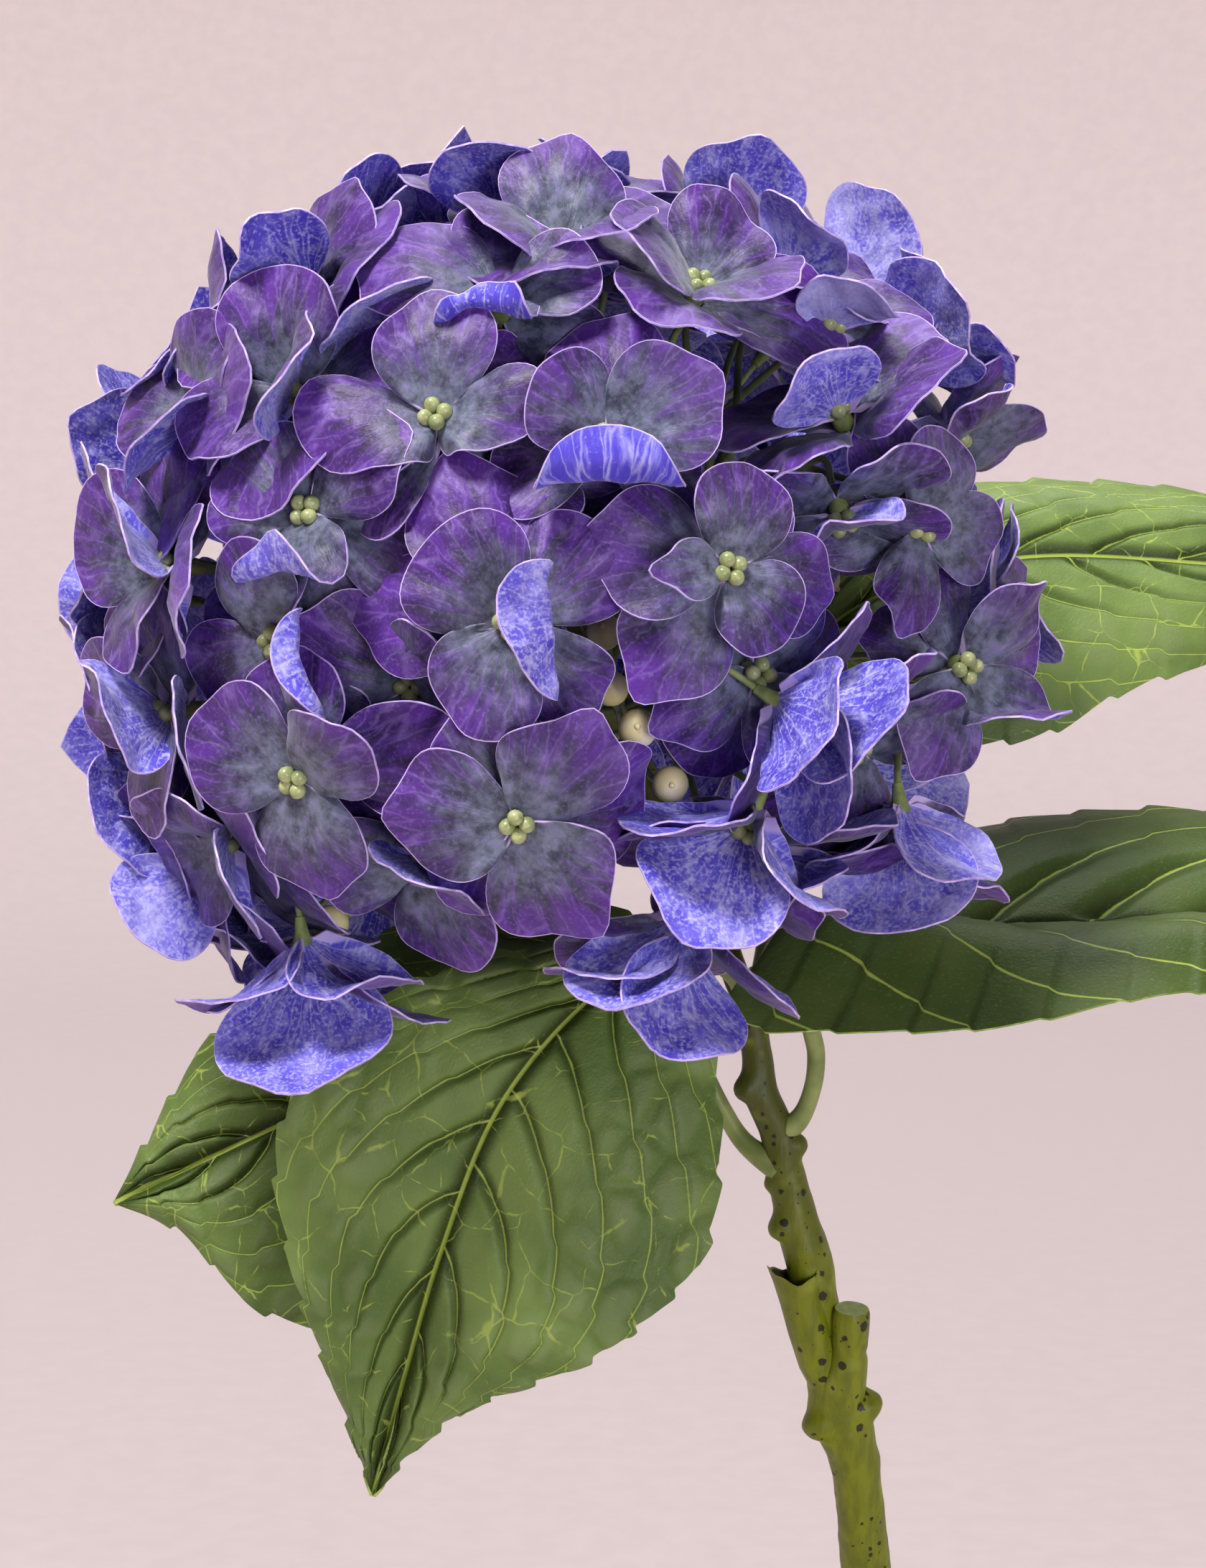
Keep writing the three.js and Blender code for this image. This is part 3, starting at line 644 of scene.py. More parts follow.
def drawPetals(away, near):
    # two whorls for a floret with nothing set: on one that looks away, the petals nearest the viewer stand up
    first = near + draw.choice([0, 60]) + draw.uniform(-22, 22)
    petals = {"inner": [], "outer": []}
    for k in range(3):
        for whorl, s in whorlShape.items():
            turn = first + 120 * k + s["turn"]
            facing = max(0.0, math.cos(math.radians(turn - near))) * math.sin(math.radians(away))
            petals[whorl].append((
                turn + draw.uniform(-8, 8), s["length"] * draw.uniform(0.93, 1.1), draw.uniform(52, 62),
                s["rise"] + s["raised"] * facing + draw.uniform(-6, 6)))
    return petals


def floretAxes(own, outward):
    # right, above and outward of the floret, how far it looks away, and where on it the viewer is, degrees
    axis = outward
    if "facing" in own:
        way, out = (math.radians(a) for a in own["facing"])
        axis = np.array([math.cos(out) * math.cos(way), -math.sin(out), math.cos(out) * math.sin(way)])
    away = degreesApart(axis, toViewer)
    start = toViewer if "inner" in own and away > 45 else np.array([1.0, 0, 0])
    if abs(axis.dot(start)) > 0.97:
        start = up
    right = unit(start - axis * start.dot(axis))
    above = np.cross(axis, right)
    near = math.degrees(math.atan2(above.dot(toViewer), right.dot(toViewer)))
    return np.array([right, above, axis]), away, near


# mm: the ring that the beads stand on, their height, every other one higher, and their own shape
eyeShape = {"ring": 1.45, "height": 3.0, "higher": 0.3, "radius": 1.25, "splay": 0.3, "stretch": 1.1}
stalkShape = [(-4.2, 0.8), (-2.2, 1.1), (0.3, 1.7), (2.1, 1.6)]  # height and radius, mm


def floretEye():
    # four swollen beads on a short stalk that widens under the petals
    e = eyeShape
    parts = []
    spin = draw.uniform(0, math.pi / 2)
    for k in range(4):
        a = spin + k * math.pi / 2
        way = np.array([math.cos(a), math.sin(a), 0])
        centre = e["ring"] * way + (e["height"] + e["higher"] * (k % 2)) * up
        parts.append(plainPart(ball(centre, e["radius"], 8, 12, e["splay"] * way + up, e["stretch"]), 3))
    heights, radii = zip(*stalkShape)
    parts.append(plainPart(tube([[0, 0, height] for height in heights], radii, 10), 4))
    return parts


def makeFloret(name, own, materials):
    # fewer points along and across a petal where the photo doesn't look
    rows, columns = (9, 19) if name.startswith("back") else (15, 41)
    *way, radius = own["at"]
    outward = directionAt(*way)
    axes, away, near = floretAxes(own, outward)
    petals = own if "inner" in own else drawPetals(away, near)
    parts = []
    for whorl, s in whorlShape.items():
        for turn, length, halfFan, rise, *shape in petals[whorl]:
            drawn = varied(*shape)
            parts.append(petalPart(turn, length, halfFan, rise, drawn, s["lift"], rows, columns))
    points, faces, slots, marks = joinParts(parts + floretEye())
    centre = headCentre + outward * radius
    piece = makeMesh("floret_" + name, centre + points @ axes, faces, materials, slots, marks, sharp=50)
    return piece, centre - axes[2] * 4.0, axes[2]


# leaves

leafPoints = {  # the points that the solids are lofted through, from foot to tip, mm
    "leaf_front": {
        "foot": (-42, -50, 262), "tip": (-91, -54, 170),
        "left": [(-56, -52, 265), (-79, -58, 261), (-98, -64, 251), (-106, -68, 234), (-104, -68, 214),
                 (-98, -63, 191)],
        "midrib": [(-55, -59, 255), (-69, -65, 239), (-79, -65, 214), (-85, -61, 193)],
        "right": [(-34, -50, 257), (-33, -54, 245), (-32, -60, 231), (-35, -66, 214), (-51, -70, 199),
                  (-74, -64, 187)],
        "petiole": [(-27, -39.5, 249), (-30, -44, 256.5), (-35, -47.5, 260.5)],
    },
    "leaf_back_left": {
        "foot": (-41, -33, 251), "tip": (-137, -34, 215),
        "left": [(-43, -26, 262), (-62, -22, 268), (-81, -20, 264), (-103, -20, 256), (-121, -24, 243),
                 (-131, -30, 228)],
        "midrib": [(-68, -32, 246), (-89, -33, 237), (-108, -34, 229)],
        "right": [(-43, -36, 238), (-56, -40, 221), (-75, -44, 206), (-91, -45, 196), (-110, -43, 197),
                  (-125, -38, 210)],
        "petiole": [(-22, -37.8, 222), (-28, -36.6, 226.5), (-31.6, -35.6, 232), (-37, -34.4, 243)],
    },
    "leaf_lower_right": {
        "foot": (-17, -43, 249), "tip": (84, -38, 256),
        "left": [(-19, -40, 254), (-15, -26, 264), (-3, -12, 273), (16, -5, 278), (37, -4, 280),
                 (59, -8, 280), (74, -22, 271)],
        "midrib": [(-13, -42, 258), (-6, -40, 263), (15, -38, 264), (51, -38, 264)],
        "right": [(-24, -50, 254), (-31, -60, 254), (-30, -68, 250), (-13, -72, 251), (14, -74, 254),
                  (45, -70, 258), (66, -56, 257)],
        "petiole": [(-22.2, -37.7, 228), (-18.6, -39, 231), (-16.4, -40.6, 237), (-16, -42, 243)],
    },
    "leaf_upper_right": {
        "foot": (-20, -8, 306), "tip": (101, 8, 316),
        "left": [(-20, 0, 317), (-8, 10, 330), (16, 18, 338), (40, 22, 338), (63, 22, 336), (84, 16, 328)],
        "midrib": [(-6, -4, 317), (21, 2, 325), (57, 6, 324), (81, 8, 321)],
        "right": [(-15, -12, 297), (-2, -14, 292), (23, -14, 293), (41, -10, 301), (59, -4, 306),
                  (81, 4, 311)],
        "petiole": [(-27.2, -39.5, 247), (-25, -31, 254), (-22.5, -20, 270), (-21.5, -12, 291)],
    },
}

leafShape = {
    "rows": 281, "columns": 141, "thickness": 0.5,
    "arch": 2.6,                                          # mm, each half bulges between midrib and margin
    "teeth": 13, "toothDepth": 1.5,
    "veins": 8.0, "sweep": 0.5, "sweepPower": 1.3,        # side veins: how many, and how they bend to the tip
    "groove": 1.5, "grooveWidth": 0.11, "midGroove": 1.0,
    "pucker": 0.8, "cellMm": 9.5,
    "waviness": 2.2, "waveMm": 26,                        # mm, the margin's, and how broad its waves are
    "netted": 1.0, "shade": 0.0,                          # how clear the fine veins, and how much painted shade darkens the blade
    "midribMm": 1.25, "sideRibMm": 0.45,                  # how far ribs stand out below
}

# what differs on one leaf, and the swells of its blade: place along and across (-1 left to 1 right), reach in
# both, and the move in mm at its middle
leafOwn = {
    "leaf_front": {},
    "leaf_back_left": {"pucker": 0.6, "shade": 0.35},
    "leaf_lower_right": {
        "swells": [(0.26, 0.52, 0.2, 0.3, (-1, -2, 9)), (0.1, 1.0, 0.13, 0.16, (0, -4, 5)),
                   (0.7, 0.5, 0.22, 0.35, (0, 0, 4))],
        "pucker": 0.12, "arch": 3.6, "groove": 2.4, "grooveWidth": 0.17, "veins": 6.0, "cellMm": 15.0,
        "netted": 0.2, "shade": 0.58,
    },
    "leaf_upper_right": {"pucker": 0.3, "cellMm": 12.0, "netted": 0.9, "shade": 0.22},
}

leafLook = {
    # dark is also painted shade in the grooves and on shaded leaves; grey is painted sheen on the puckers and
    # a fine speckle
    "dark": "#222f0a", "mid": "#546b34", "light": "#6f8647", "grey": "#808f66",
    "vein": "#a2b552", "veinSoft": "#9db053",
    "back": "#6f8c3c", "backLight": "#8ba757", "backVein": "#a9bf6d",
    "petiole": "#66743a", "petioleLight": "#8b9758",
    "grainMm": 0.5, "netMm": 9.0, "roughness": 0.44,
}


def smoothNoise(x, y, seed, size):
    places = zip(x.ravel() / size, y.ravel() / size)
    return np.array([noise.noise(Vector((a, b, seed))) for a, b in places]).reshape(x.shape)


def cellGaps(x, y, seed, size):
    # how far each place lies from the nearest border of irregular cells, in cell sizes
    gaps = []
    for a, b in zip(x.ravel() / size, y.ravel() / size):
        nearest = noise.voronoi(Vector((a, b, seed)))[0]
        gaps.append(nearest[1] - nearest[0])
    return np.array(gaps).reshape(x.shape)


def leafLine(name, part, count):
    own = leafPoints[name]
    return smoothPath([own["foot"], *own[part], own["tip"]], count)


def leafLift(left, middle, right):
    # the way that the upper side looks, evened out, and -1 where left and right change places
    lift = np.cross(right - left, np.gradient(middle, axis=0))
    lift[0], lift[-1] = lift[1], lift[-2]
    lift /= np.linalg.norm(lift, axis=1)[:, None]
    for _ in range(12):
        lift[1:-1] = (lift[:-2] + lift[1:-1] + lift[2:]) / 3
    upward = 1 if lift[len(lift) // 2].dot([0, -0.6, 0.8]) > 0 else -1
    return lift * upward / np.linalg.norm(lift, axis=1)[:, None], upward


def cutTeeth(edge, middle, seed, first):
    # saw teeth along one side, which point to the tip
    share = np.linspace(0, 1, len(edge))
    inward = middle - edge
    width = np.maximum(np.linalg.norm(inward, axis=1), 1e-6)
    warped = share + 0.012 * np.sin(9 * share + seed) + 0.006 * np.sin(31 * share + 2 * seed)
    saw = 1 - (warped * leafShape["teeth"] + first) % 1
    saw = np.where(saw > 0.86, (1 - saw) / 0.14 * 0.86, saw)
    cut = leafShape["toothDepth"] * (1 - saw) * smoothStep(0.04, 0.16, share) * smoothStep(1.0, 0.9, share)
    return edge + inward * np.minimum(cut / width, 0.3)[:, None]


def leafRelief(s, seed, along, across, side, alongMm, acrossMm):
    # the height of the upper side, how thick the ribs are below it, where side veins run, and what stands up
    onRight = side > 0
    drift = smoothNoise(alongMm + 40 * side, acrossMm, seed + 0.5, 24)
    veinAt = (along - s["sweep"] * across ** s["sweepPower"]) * s["veins"] + 0.25 * drift + 0.37 * onRight
    fromVein = np.abs((veinAt + 0.5) % 1 - 0.5)
    cells = cellGaps(alongMm + 0.8 * drift, acrossMm + 300 * onRight, seed, s["cellMm"])
    pillow = smoothStep(0.0, 0.42, cells) * (1 - np.abs(2 * (veinAt % 1) - 1) ** 5)
    narrow = smoothStep(0, 0.08, along) * smoothStep(1.0, 0.9, along)
    puckered = smoothStep(0.25, 0.75, across + 0.5 * smoothStep(0.5, 1, along)) * 0.85 + 0.15
    grooves = np.exp(-(fromVein / s["grooveWidth"]) ** 2) * smoothStep(0.02, 0.08, across)
    grooves = grooves * smoothStep(0.62, 0.2, across)
    middle = np.exp(-(acrossMm / 1.1) ** 2) * smoothStep(1.0, 0.85, along) * smoothStep(0, 0.05, along)
    waves = smoothNoise(alongMm, acrossMm, seed + 3.1, s["waveMm"]) * across ** 2
    height = narrow * (s["arch"] * 4 * across * (1 - across) + s["pucker"] * puckered * pillow
                       - s["groove"] * grooves)
    height = height - s["midGroove"] * middle + s["waviness"] * waves
    ribs = s["midribMm"] * np.exp(-(acrossMm / 1.2) ** 2) * (1 - 0.75 * along)
    ribs += s["sideRibMm"] * np.exp(-(fromVein / 0.05) ** 2) * smoothStep(1.0, 0.5, across)
    return height, ribs * narrow, veinAt, pillow * puckered


def makeLeafBlade(name, seed, materials):
    s = {**leafShape, **leafOwn[name]}
    rows, columns = s["rows"], s["columns"]
    left, middle, right = (leafLine(name, part, rows) for part in ("left", "midrib", "right"))
    lift, upward = leafLift(left, middle, right)
    jitter = np.random.default_rng(seed)
    left, right = (cutTeeth(edge, middle, seed, jitter.uniform(0, 1)) for edge in (left, right))
    c = np.linspace(-1, 1, columns)
    c = np.sign(c) * np.abs(c) ** 1.12
    c[columns // 2] = 0.0
    halves = np.where((c < 0)[:, None], left[:, None], right[:, None]) - middle[:, None]
    points = middle[:, None] + np.abs(c)[:, None] * halves
    acrossMm = c * np.linalg.norm(halves, axis=2)
    length = np.linalg.norm(np.diff(middle, axis=0), axis=1).sum()
    along = np.repeat(np.linspace(0, 1, rows)[:, None], columns, axis=1)
    across = np.repeat(np.abs(c)[None, :], rows, axis=0)
    side = np.repeat(np.sign(c)[None, :], rows, axis=0)
    alongMm = along * length
    height, ribs, veinAt, raised = leafRelief(s, seed, along, across, side, alongMm, acrossMm)
    points += height[..., None] * lift[:, None, :]
    for atAlong, atAcross, reachAlong, reachAcross, move in s.get("swells", ()):
        distance = ((along - atAlong) / reachAlong) ** 2 + ((across * side - atAcross) / reachAcross) ** 2
        swell = np.exp(-distance)
        points += (swell * smoothStep(0, 0.06, along))[..., None] * np.array(move, float)
    normals = np.cross(np.gradient(points, axis=1), np.gradient(points, axis=0))
    normals /= np.maximum(np.linalg.norm(normals, axis=2), 1e-9)[..., None]
    normals[0], normals[-1] = normals[2], normals[-3]
    under = points - upward * normals * (s["thickness"] + ribs)[..., None]
    count = rows * columns
    quads = gridQuads(rows, columns)
    border = borderEdges(rows, columns)
    faces = [(a, d, c, b) for a, b, c, d in quads]
    faces += [tuple(count + i for i in quad) for quad in quads]
    faces += [(a, b, b + count, a + count) for a, b in border]
    faces = faces if upward > 0 else [tuple(reversed(face)) for face in faces]
    slots = [0] * len(quads) + [1] * (len(quads) + len(border))
    marks = {
        "leafMm": np.dstack([alongMm, acrossMm, np.full_like(along, 17.0 * seed)]).reshape(-1, 3),
        "leafVein": veinAt.ravel(), "leafAcross": across.ravel(), "leafRaised": raised.ravel(),
        "leafNetted": np.full(count, s["netted"]), "leafShade": np.full(count, s["shade"]),
    }
    marks = {label: np.concatenate([v, v]) for label, v in marks.items()}
    both = np.vstack([points.reshape(-1, 3), under.reshape(-1, 3)])
    return makeMesh(name + "_blade", both, faces, materials, slots, marks, sharp=60)


def makeLeafSkin(name, isFace):
    # leaf blade: waxy upper skin with a satin shine, painted sheen on its puckers, painted shade in its
    # grooves and on shaded leaves, and sunk yellow-green veins, or the paler matt underside
    material, tree, shader = newMaterial(name, leafLook["roughness"] + (0 if isFace else 0.14))
    place = addNode(tree, "Attribute", output="Vector", attribute_name="leafMm")
    veinAt, across, netted, raised, shade = (
        addNode(tree, "Attribute", output="Fac", attribute_name="leaf" + label)
        for label in ("Vein", "Across", "Netted", "Raised", "Shade"))
    acrossMm = addNode(tree, "SeparateXYZ", {0: place}, 1)
    fromMidrib = addNode(tree, "Math", {0: acrossMm}, operation="ABSOLUTE")
    broad = addNode(tree, "TexNoise", {"Vector": place, "Scale": 0.05, "Detail": 3.0})
    patch = addNode(tree, "TexNoise", {"Vector": place, "Scale": 0.3, "Detail": 4.0, "Roughness": 0.6})
    grain = addNode(tree, "TexNoise", {"Vector": place, "Scale": 1 / leafLook["grainMm"], "Detail": 3.0})
    wobble = addNode(tree, "Math", {0: patch, 1: 0.03, 2: veinAt}, operation="MULTIPLY_ADD")
    fromVein = addNode(tree, "Math", {0: wobble, 1: 0.5}, operation="PINGPONG")
    valley = addNode(tree, "Math", {0: across, 1: 0.2, 2: fromVein}, operation="MULTIPLY_ADD")
    drift = addNode(tree, "TexNoise", {"Vector": place, "Scale": 0.16, "Detail": 2.0}, 1)
    driftMm = addNode(tree, "VectorMath", {0: drift, 1: (4.0, 4.0, 0.0)}, operation="MULTIPLY")
    bent = addNode(tree, "VectorMath", {0: place, 1: driftMm}, operation="ADD")
    net = addNode(tree, "TexVoronoi", {"Vector": bent, "Scale": 1 / leafLook["netMm"]},
                  feature="DISTANCE_TO_EDGE")
    sparse = addNode(tree, "Math", {0: broad, 1: 0.5, 2: patch}, operation="MULTIPLY_ADD")
    shown = addNode(tree, "MapRange", {0: sparse, 1: 0.62, 2: 0.9, 3: 0.0, 4: netted})
    netLine = addNode(tree, "Math", {0: shown, 1: -0.03, 2: net}, operation="MULTIPLY_ADD")
    thinVein = addNode(tree, "Math", {0: patch, 1: -0.03, 2: fromVein}, operation="MULTIPLY_ADD")
    if isFace:
        colour = paintLayers(tree, leafLook["mid"], [
            (broad, 0.35, 0.65, 0.0, 1.0, leafLook["light"]),
            # painted sheen: greyer where the puckers stand up
            (raised, 0.1, 0.9, 0.0, 0.25, leafLook["grey"]),
            # painted shade: the whole blade darker on leaves that lie in shade
            (shade, 0.0, 1.0, 0.0, 1.0, leafLook["dark"]),
            # painted shade: darker in the grooves by the side veins and in the valley along the midrib
            (valley, 0.03, 0.22, 0.7, 0.0, leafLook["dark"]),
            (fromMidrib, 0.5, 3.2, 0.8, 0.0, leafLook["dark"]),
            (grain, 0.55, 0.8, 0.0, 0.3, leafLook["grey"]),
            (netLine, -0.02, -0.002, 0.7, 0.0, leafLook["veinSoft"]),
            (thinVein, -0.008, 0.01, 0.75, 0.0, leafLook["vein"]),
            (fromMidrib, 0.2, 0.5, 0.8, 0.0, leafLook["vein"]),
        ])
    else:
        colour = paintLayers(tree, leafLook["back"], [
            (patch, 0.35, 0.65, 0.0, 1.0, leafLook["backLight"]),
            (net, 0.01, 0.04, 0.5, 0.0, leafLook["backVein"]),
            (thinVein, 0.004, 0.03, 0.9, 0.0, leafLook["backVein"]),
            (fromMidrib, 0.6, 1.3, 0.9, 0.0, leafLook["backVein"]),
        ])
    relief = addNode(tree, "Math", {0: grain, 1: 0.5, 2: patch}, operation="MULTIPLY_ADD")
    dressShader(tree, shader, colour, relief, 0.45, 0.5)
    shader.inputs["Specular IOR Level"].default_value = 0.18
    return material


def makePetiole(name, skin):
    # runs on under the blade, thickest where it clasps the cane
    own = leafPoints[name]
    under = leafLine(name, "midrib", 60)[3]
    path = smoothPath([*own["petiole"], own["foot"], under], 50)
    share = np.linspace(0, 1, len(path))
    radii = 1.55 + 0.8 * np.exp(-(share / 0.16) ** 2) - 0.35 * smoothStep(0.75, 1, share)
    return makeMesh(name + "_petiole", *tube(path, radii, 18), [skin])


def buildLeaves():
    skins = [makeLeafSkin("leaf upper skin, satin wax", True), makeLeafSkin("leaf underside, matt", False)]
    petiole = makeWaxyGreen("petiole, green skin", leafLook["petiole"], leafLook["petioleLight"], 6.0, 0.45)
    for seed, name in enumerate(leafPoints, 1):
        finishPiece(makeLeafBlade(name, seed, skins), "leaf", name)
        finishPiece(makePetiole(name, petiole), "leaf")
    print("leaves:", len(leafPoints))


# cane

canePath = [  # centre and radius, mm, from the cut foot up into the flower head
    (6, 21, 2, 4.6), (2, 2, 60, 4.6), (-3, -19, 120, 4.5), (-5.4, -25.5, 146, 4.4), (-8, -29.8, 168, 4.4),
    (-9.8, -31.4, 174, 5.0), (-11, -32, 178, 5.4), (-12, -32.6, 182, 4.6), (-13.4, -33.4, 188, 3.9),
    (-16.8, -35.6, 206, 4.0), (-19, -36.6, 214, 3.6), (-20.6, -37, 220.4, 3.3), (-22.5, -37.9, 229, 3.0),
    (-25.2, -38.6, 236, 3.0), (-26, -39.2, 243, 2.6), (-27.4, -39.7, 250, 2.4), (-34.8, -41.2, 269, 2.3),
    (-43, -42.2, 287, 2.3), (-49.4, -42.5, 298, 2.2), (-52.7, -42.7, 308, 2.0),
]
stubPath = [(-12, -33, 176, 4.0), (-10.6, -35, 182, 4.0), (-9.6, -36.6, 188, 3.3), (-9.5, -37, 189.6, 2.9),
            (-9.4, -37.4, 191.4, 3.1), (-9.35, -37.8, 196.2, 3.15), (-9.3, -38, 197.4, 2.9)]
sheath = {"foot": (-13.2, -33.6, 182), "tip": (-19.4, -37.2, 206), "tearMm": 3.2, "toLeft": 0.2}
sheathOutline = [  # share of the height, radius in mm, 1 where the torn rim is
    (0.0, 2.6, 0), (0.2, 3.7, 0), (0.45, 4.0, 0), (0.7, 4.0, 0.15), (0.88, 4.2, 0.6), (1.0, 4.5, 1),
    (0.985, 4.2, 1), (0.86, 3.8, 0.6), (0.72, 3.4, 0.15), (0.62, 2.6, 0),
]
caneKnobs = [  # scars and small buds: place and radius, mm
    (-6.2, -33.6, 179, 2.6), (-14.6, -34.6, 175.5, 2.5), (-22.4, -38.6, 211.5, 2.3), (-25, -38.4, 219, 1.8),
    (-28.6, -40.6, 236.4, 2.2), (-19, -38.6, 226.4, 1.9), (-17, -37.4, 208, 2.2),
]
caneLook = {
    # young is the younger wood near the flower, darkened as painted shade under the leaves and head
    "youngAndShaded": "#444919", "old": "#767f0c", "light": "#8d9831", "dusk": "#434c14", "speck": "#170f0b",
    # dry and the darker dry colour line the sheath: dry brown, darkened as painted shade in its hollow
    "cut": "#a9b86a", "cutRim": "#8e9c55", "dry": "#33301a", "shadedDryDark": "#12140a",
    "specks": [(1.5, 0.45, 0.34), (3.4, 0.5, 0.3)],  # spacing in mm, how rare, how large against the spacing
}


def makeCaneSkin():
    # green hydrangea wood, smooth semi-gloss bark with dark corky specks, browner and darker towards the
    # flower, as younger wood and as painted shade under the leaves and head
    material, tree, shader = newMaterial("green cane bark", 0.46)
    place = addNode(tree, "TexCoord", output="Object")
    height = addNode(tree, "SeparateXYZ", {0: place}, 2)
    stretched = addNode(tree, "Mapping", {"Vector": place, "Scale": (1, 1, 0.25)})
    streak = addNode(tree, "TexNoise", {"Vector": stretched, "Scale": 420.0, "Detail": 4.0, "Roughness": 0.6})
    patch = addNode(tree, "TexNoise", {"Vector": place, "Scale": 130.0, "Detail": 3.0})
    layers = [
        # young wood and painted shade: darker from 190 mm up, fully by 240 mm
        (height, 0.19, 0.24, 0.0, 1.0, caneLook["youngAndShaded"]),
        (streak, 0.35, 0.65, 0.5, 0.0, caneLook["dusk"]),
        (patch, 0.55, 0.75, 0.0, 0.6, caneLook["light"]),
    ]
    blur = addNode(tree, "TexNoise", {"Vector": place, "Scale": 1400.0, "Detail": 2.0}, 1)
    ragged = addNode(tree, "VectorMath", {0: blur, 1: (0.0008, 0.0008, 0.0008), 2: place},
                     operation="MULTIPLY_ADD")
    for spacingMm, rarest, most in caneLook["specks"]:
        cells = addNode(tree, "TexVoronoi", {"Vector": ragged, "Scale": 1000 / spacingMm}).node.outputs
        chance = addNode(tree, "SeparateColor", {0: cells["Color"]})
        size = addNode(tree, "MapRange", {0: chance, 1: rarest, 2: 1.0, 3: 0.0, 4: most})
        inside = addNode(tree, "Math", {0: size, 1: cells["Distance"]}, operation="SUBTRACT")
        fading = addNode(tree, "MapRange", {0: height, 1: 0.21, 2: 0.24, 3: 1.0, 4: 0.25})
        shown = addNode(tree, "Math", {0: inside, 1: fading}, operation="MULTIPLY")
        layers.append((shown, 0.0, 0.04, 0.0, 0.9, caneLook["speck"]))
    relief = addNode(tree, "Math", {0: streak, 1: patch}, operation="ADD")
    dressShader(tree, shader, paintLayers(tree, caneLook["old"], layers), relief, 0.5, 0.6)
    shader.inputs["Specular IOR Level"].default_value = 0.35
    return material


def lumpyTube(places, steps, sides, seed, lump, knobs=()):
    # a tube whose skin is uneven and swells out over its knobs
    path = smoothPath(places, steps)
    points, faces = tube(path[:, :3], path[:, 3], sides)
    ringed = points[:steps * sides].reshape(steps, sides, 3)
    centres = path[:, None, :3]
    outward = ringed - centres
    reach = np.linalg.norm(outward, axis=2)
    for i in range(steps):
        for j in range(sides):
            bumpy = noise.noise(Vector(ringed[i, j] / 5.0) + Vector((seed, 0, 0)))
            bumpy += 0.5 * noise.noise(Vector(ringed[i, j] / 2.2) + Vector((seed, 7, 0)))
            reach[i, j] *= 1 + lump * bumpy
    for x, y, z, radius in knobs:
        away = np.linalg.norm(ringed - [x, y, z], axis=2)
        reach += 0.95 * radius * np.exp(-(away / (1.05 * radius)) ** 3)
    outward *= (reach / np.linalg.norm(outward, axis=2))[..., None]
    points[:steps * sides] = (centres + outward).reshape(-1, 3)
    return points, faces


def makeSheath(sides):
    # a dry leaf base that clasps the cane, torn open at the top
    foot, tip = np.array(sheath["foot"], float), np.array(sheath["tip"], float)
    axis = unit(tip - foot)
    left = unit(np.array([-1.0, 0, 0]) + axis * axis[0])
    front = np.cross(left, axis)
    length = np.linalg.norm(tip - foot)
    a = 2 * np.pi * np.arange(sides)[:, None] / sides
    around = np.cos(a) * left + np.sin(a) * front
    tear = sheath["tearMm"] * (0.5 - 0.5 * np.cos(2 * a + 0.6) + 0.1 * np.sin(7 * a))
    rings = []
    for share, radius, torn in sheathOutline:
        centre = foot + sheath["toLeft"] * share * left
        rings.append(centre + (share * length - tear * torn) * axis + radius * around)
    points, faces = closedRings(rings)
    inner, footCentre = 6 * sides, len(points) - 2  # the rings from the seventh on line the inside
    slots = [2 if min(face) >= inner and max(face) != footCentre else 0 for face in faces]
    return points, faces, slots, {}


def buildCane():
    skin = makeCaneSkin()
    cut = makeWaxyGreen("cut cane end, pale pith", caneLook["cutRim"], caneLook["cut"], 1.5, 0.55)
    # the sheath's lining: dry brown, made darker as painted shade in the hollow
    dry = makeWaxyGreen("inside of the dry sheath, painted shade", caneLook["shadedDryDark"], caneLook["dry"], 1.5, 0.7)
    cane = inSlot(lumpyTube(canePath, 520, 40, 1.0, 0.06, caneKnobs), 0)
    points, faces = lumpyTube(stubPath, 60, 26, 4.0, 0.07)
    stub = (points, faces, [1 if len(points) - 1 in face else 0 for face in faces], {})
    points, faces, slots, _ = joinParts([cane, stub, makeSheath(36)])
    finishPiece(makeMesh("cane", points, faces, [skin, cut, dry], slots, sharp=55), "cane", "stem")
    print("cane: ready")


# branches inside the flower head

branchLook = {
    "dark": "#4c5024", "light": "#76803f", "pedicel": "#6b7a44", "pedicelLight": "#97a669",
    "bud": "#efdf98", "budLight": "#faf1c6", "budGreen": "#b4b668",
}
# where branches leave the cane, and where the stalks of the lowest buds do, mm
branchShape = {"first": (-49.4, -42.5, 298.0), "last": (-52.7, -42.7, 307.7), "low": (-46.0, -42.0, 293.0)}
forkMm = 37      # how far from the middle of the head the branches fork
budStalkMm = 26  # a bud farther than this from any fork hangs on a stalk of its own from the cane
forkWays = [     # longitude and latitude where the search for the forks starts
    (-10, 15), (40, 30), (-60, 25), (30, -20), (-45, -30), (0, 62), (80, -5), (-120, 10), (150, 20),
    (110, 50), (-150, -35), (-100, 60), (-110, -35), (60, -45),
]
closedBuds = [   # fertile buds that stay closed: place and diameter, mm
    ((-52, -97, 319), 5.6), ((-51, -103, 311), 5.4), ((-47, -103, 305), 6.0), ((-42, -98, 296), 5.6),
    ((-55, -66, 304), 5.0), ((-17, -66, 325), 5.4), ((-2, -58, 320), 5.8), ((-95, -85, 326), 5.6),
    ((-102, -84, 318), 5.4), ((-96, -70, 270), 6.0),
]


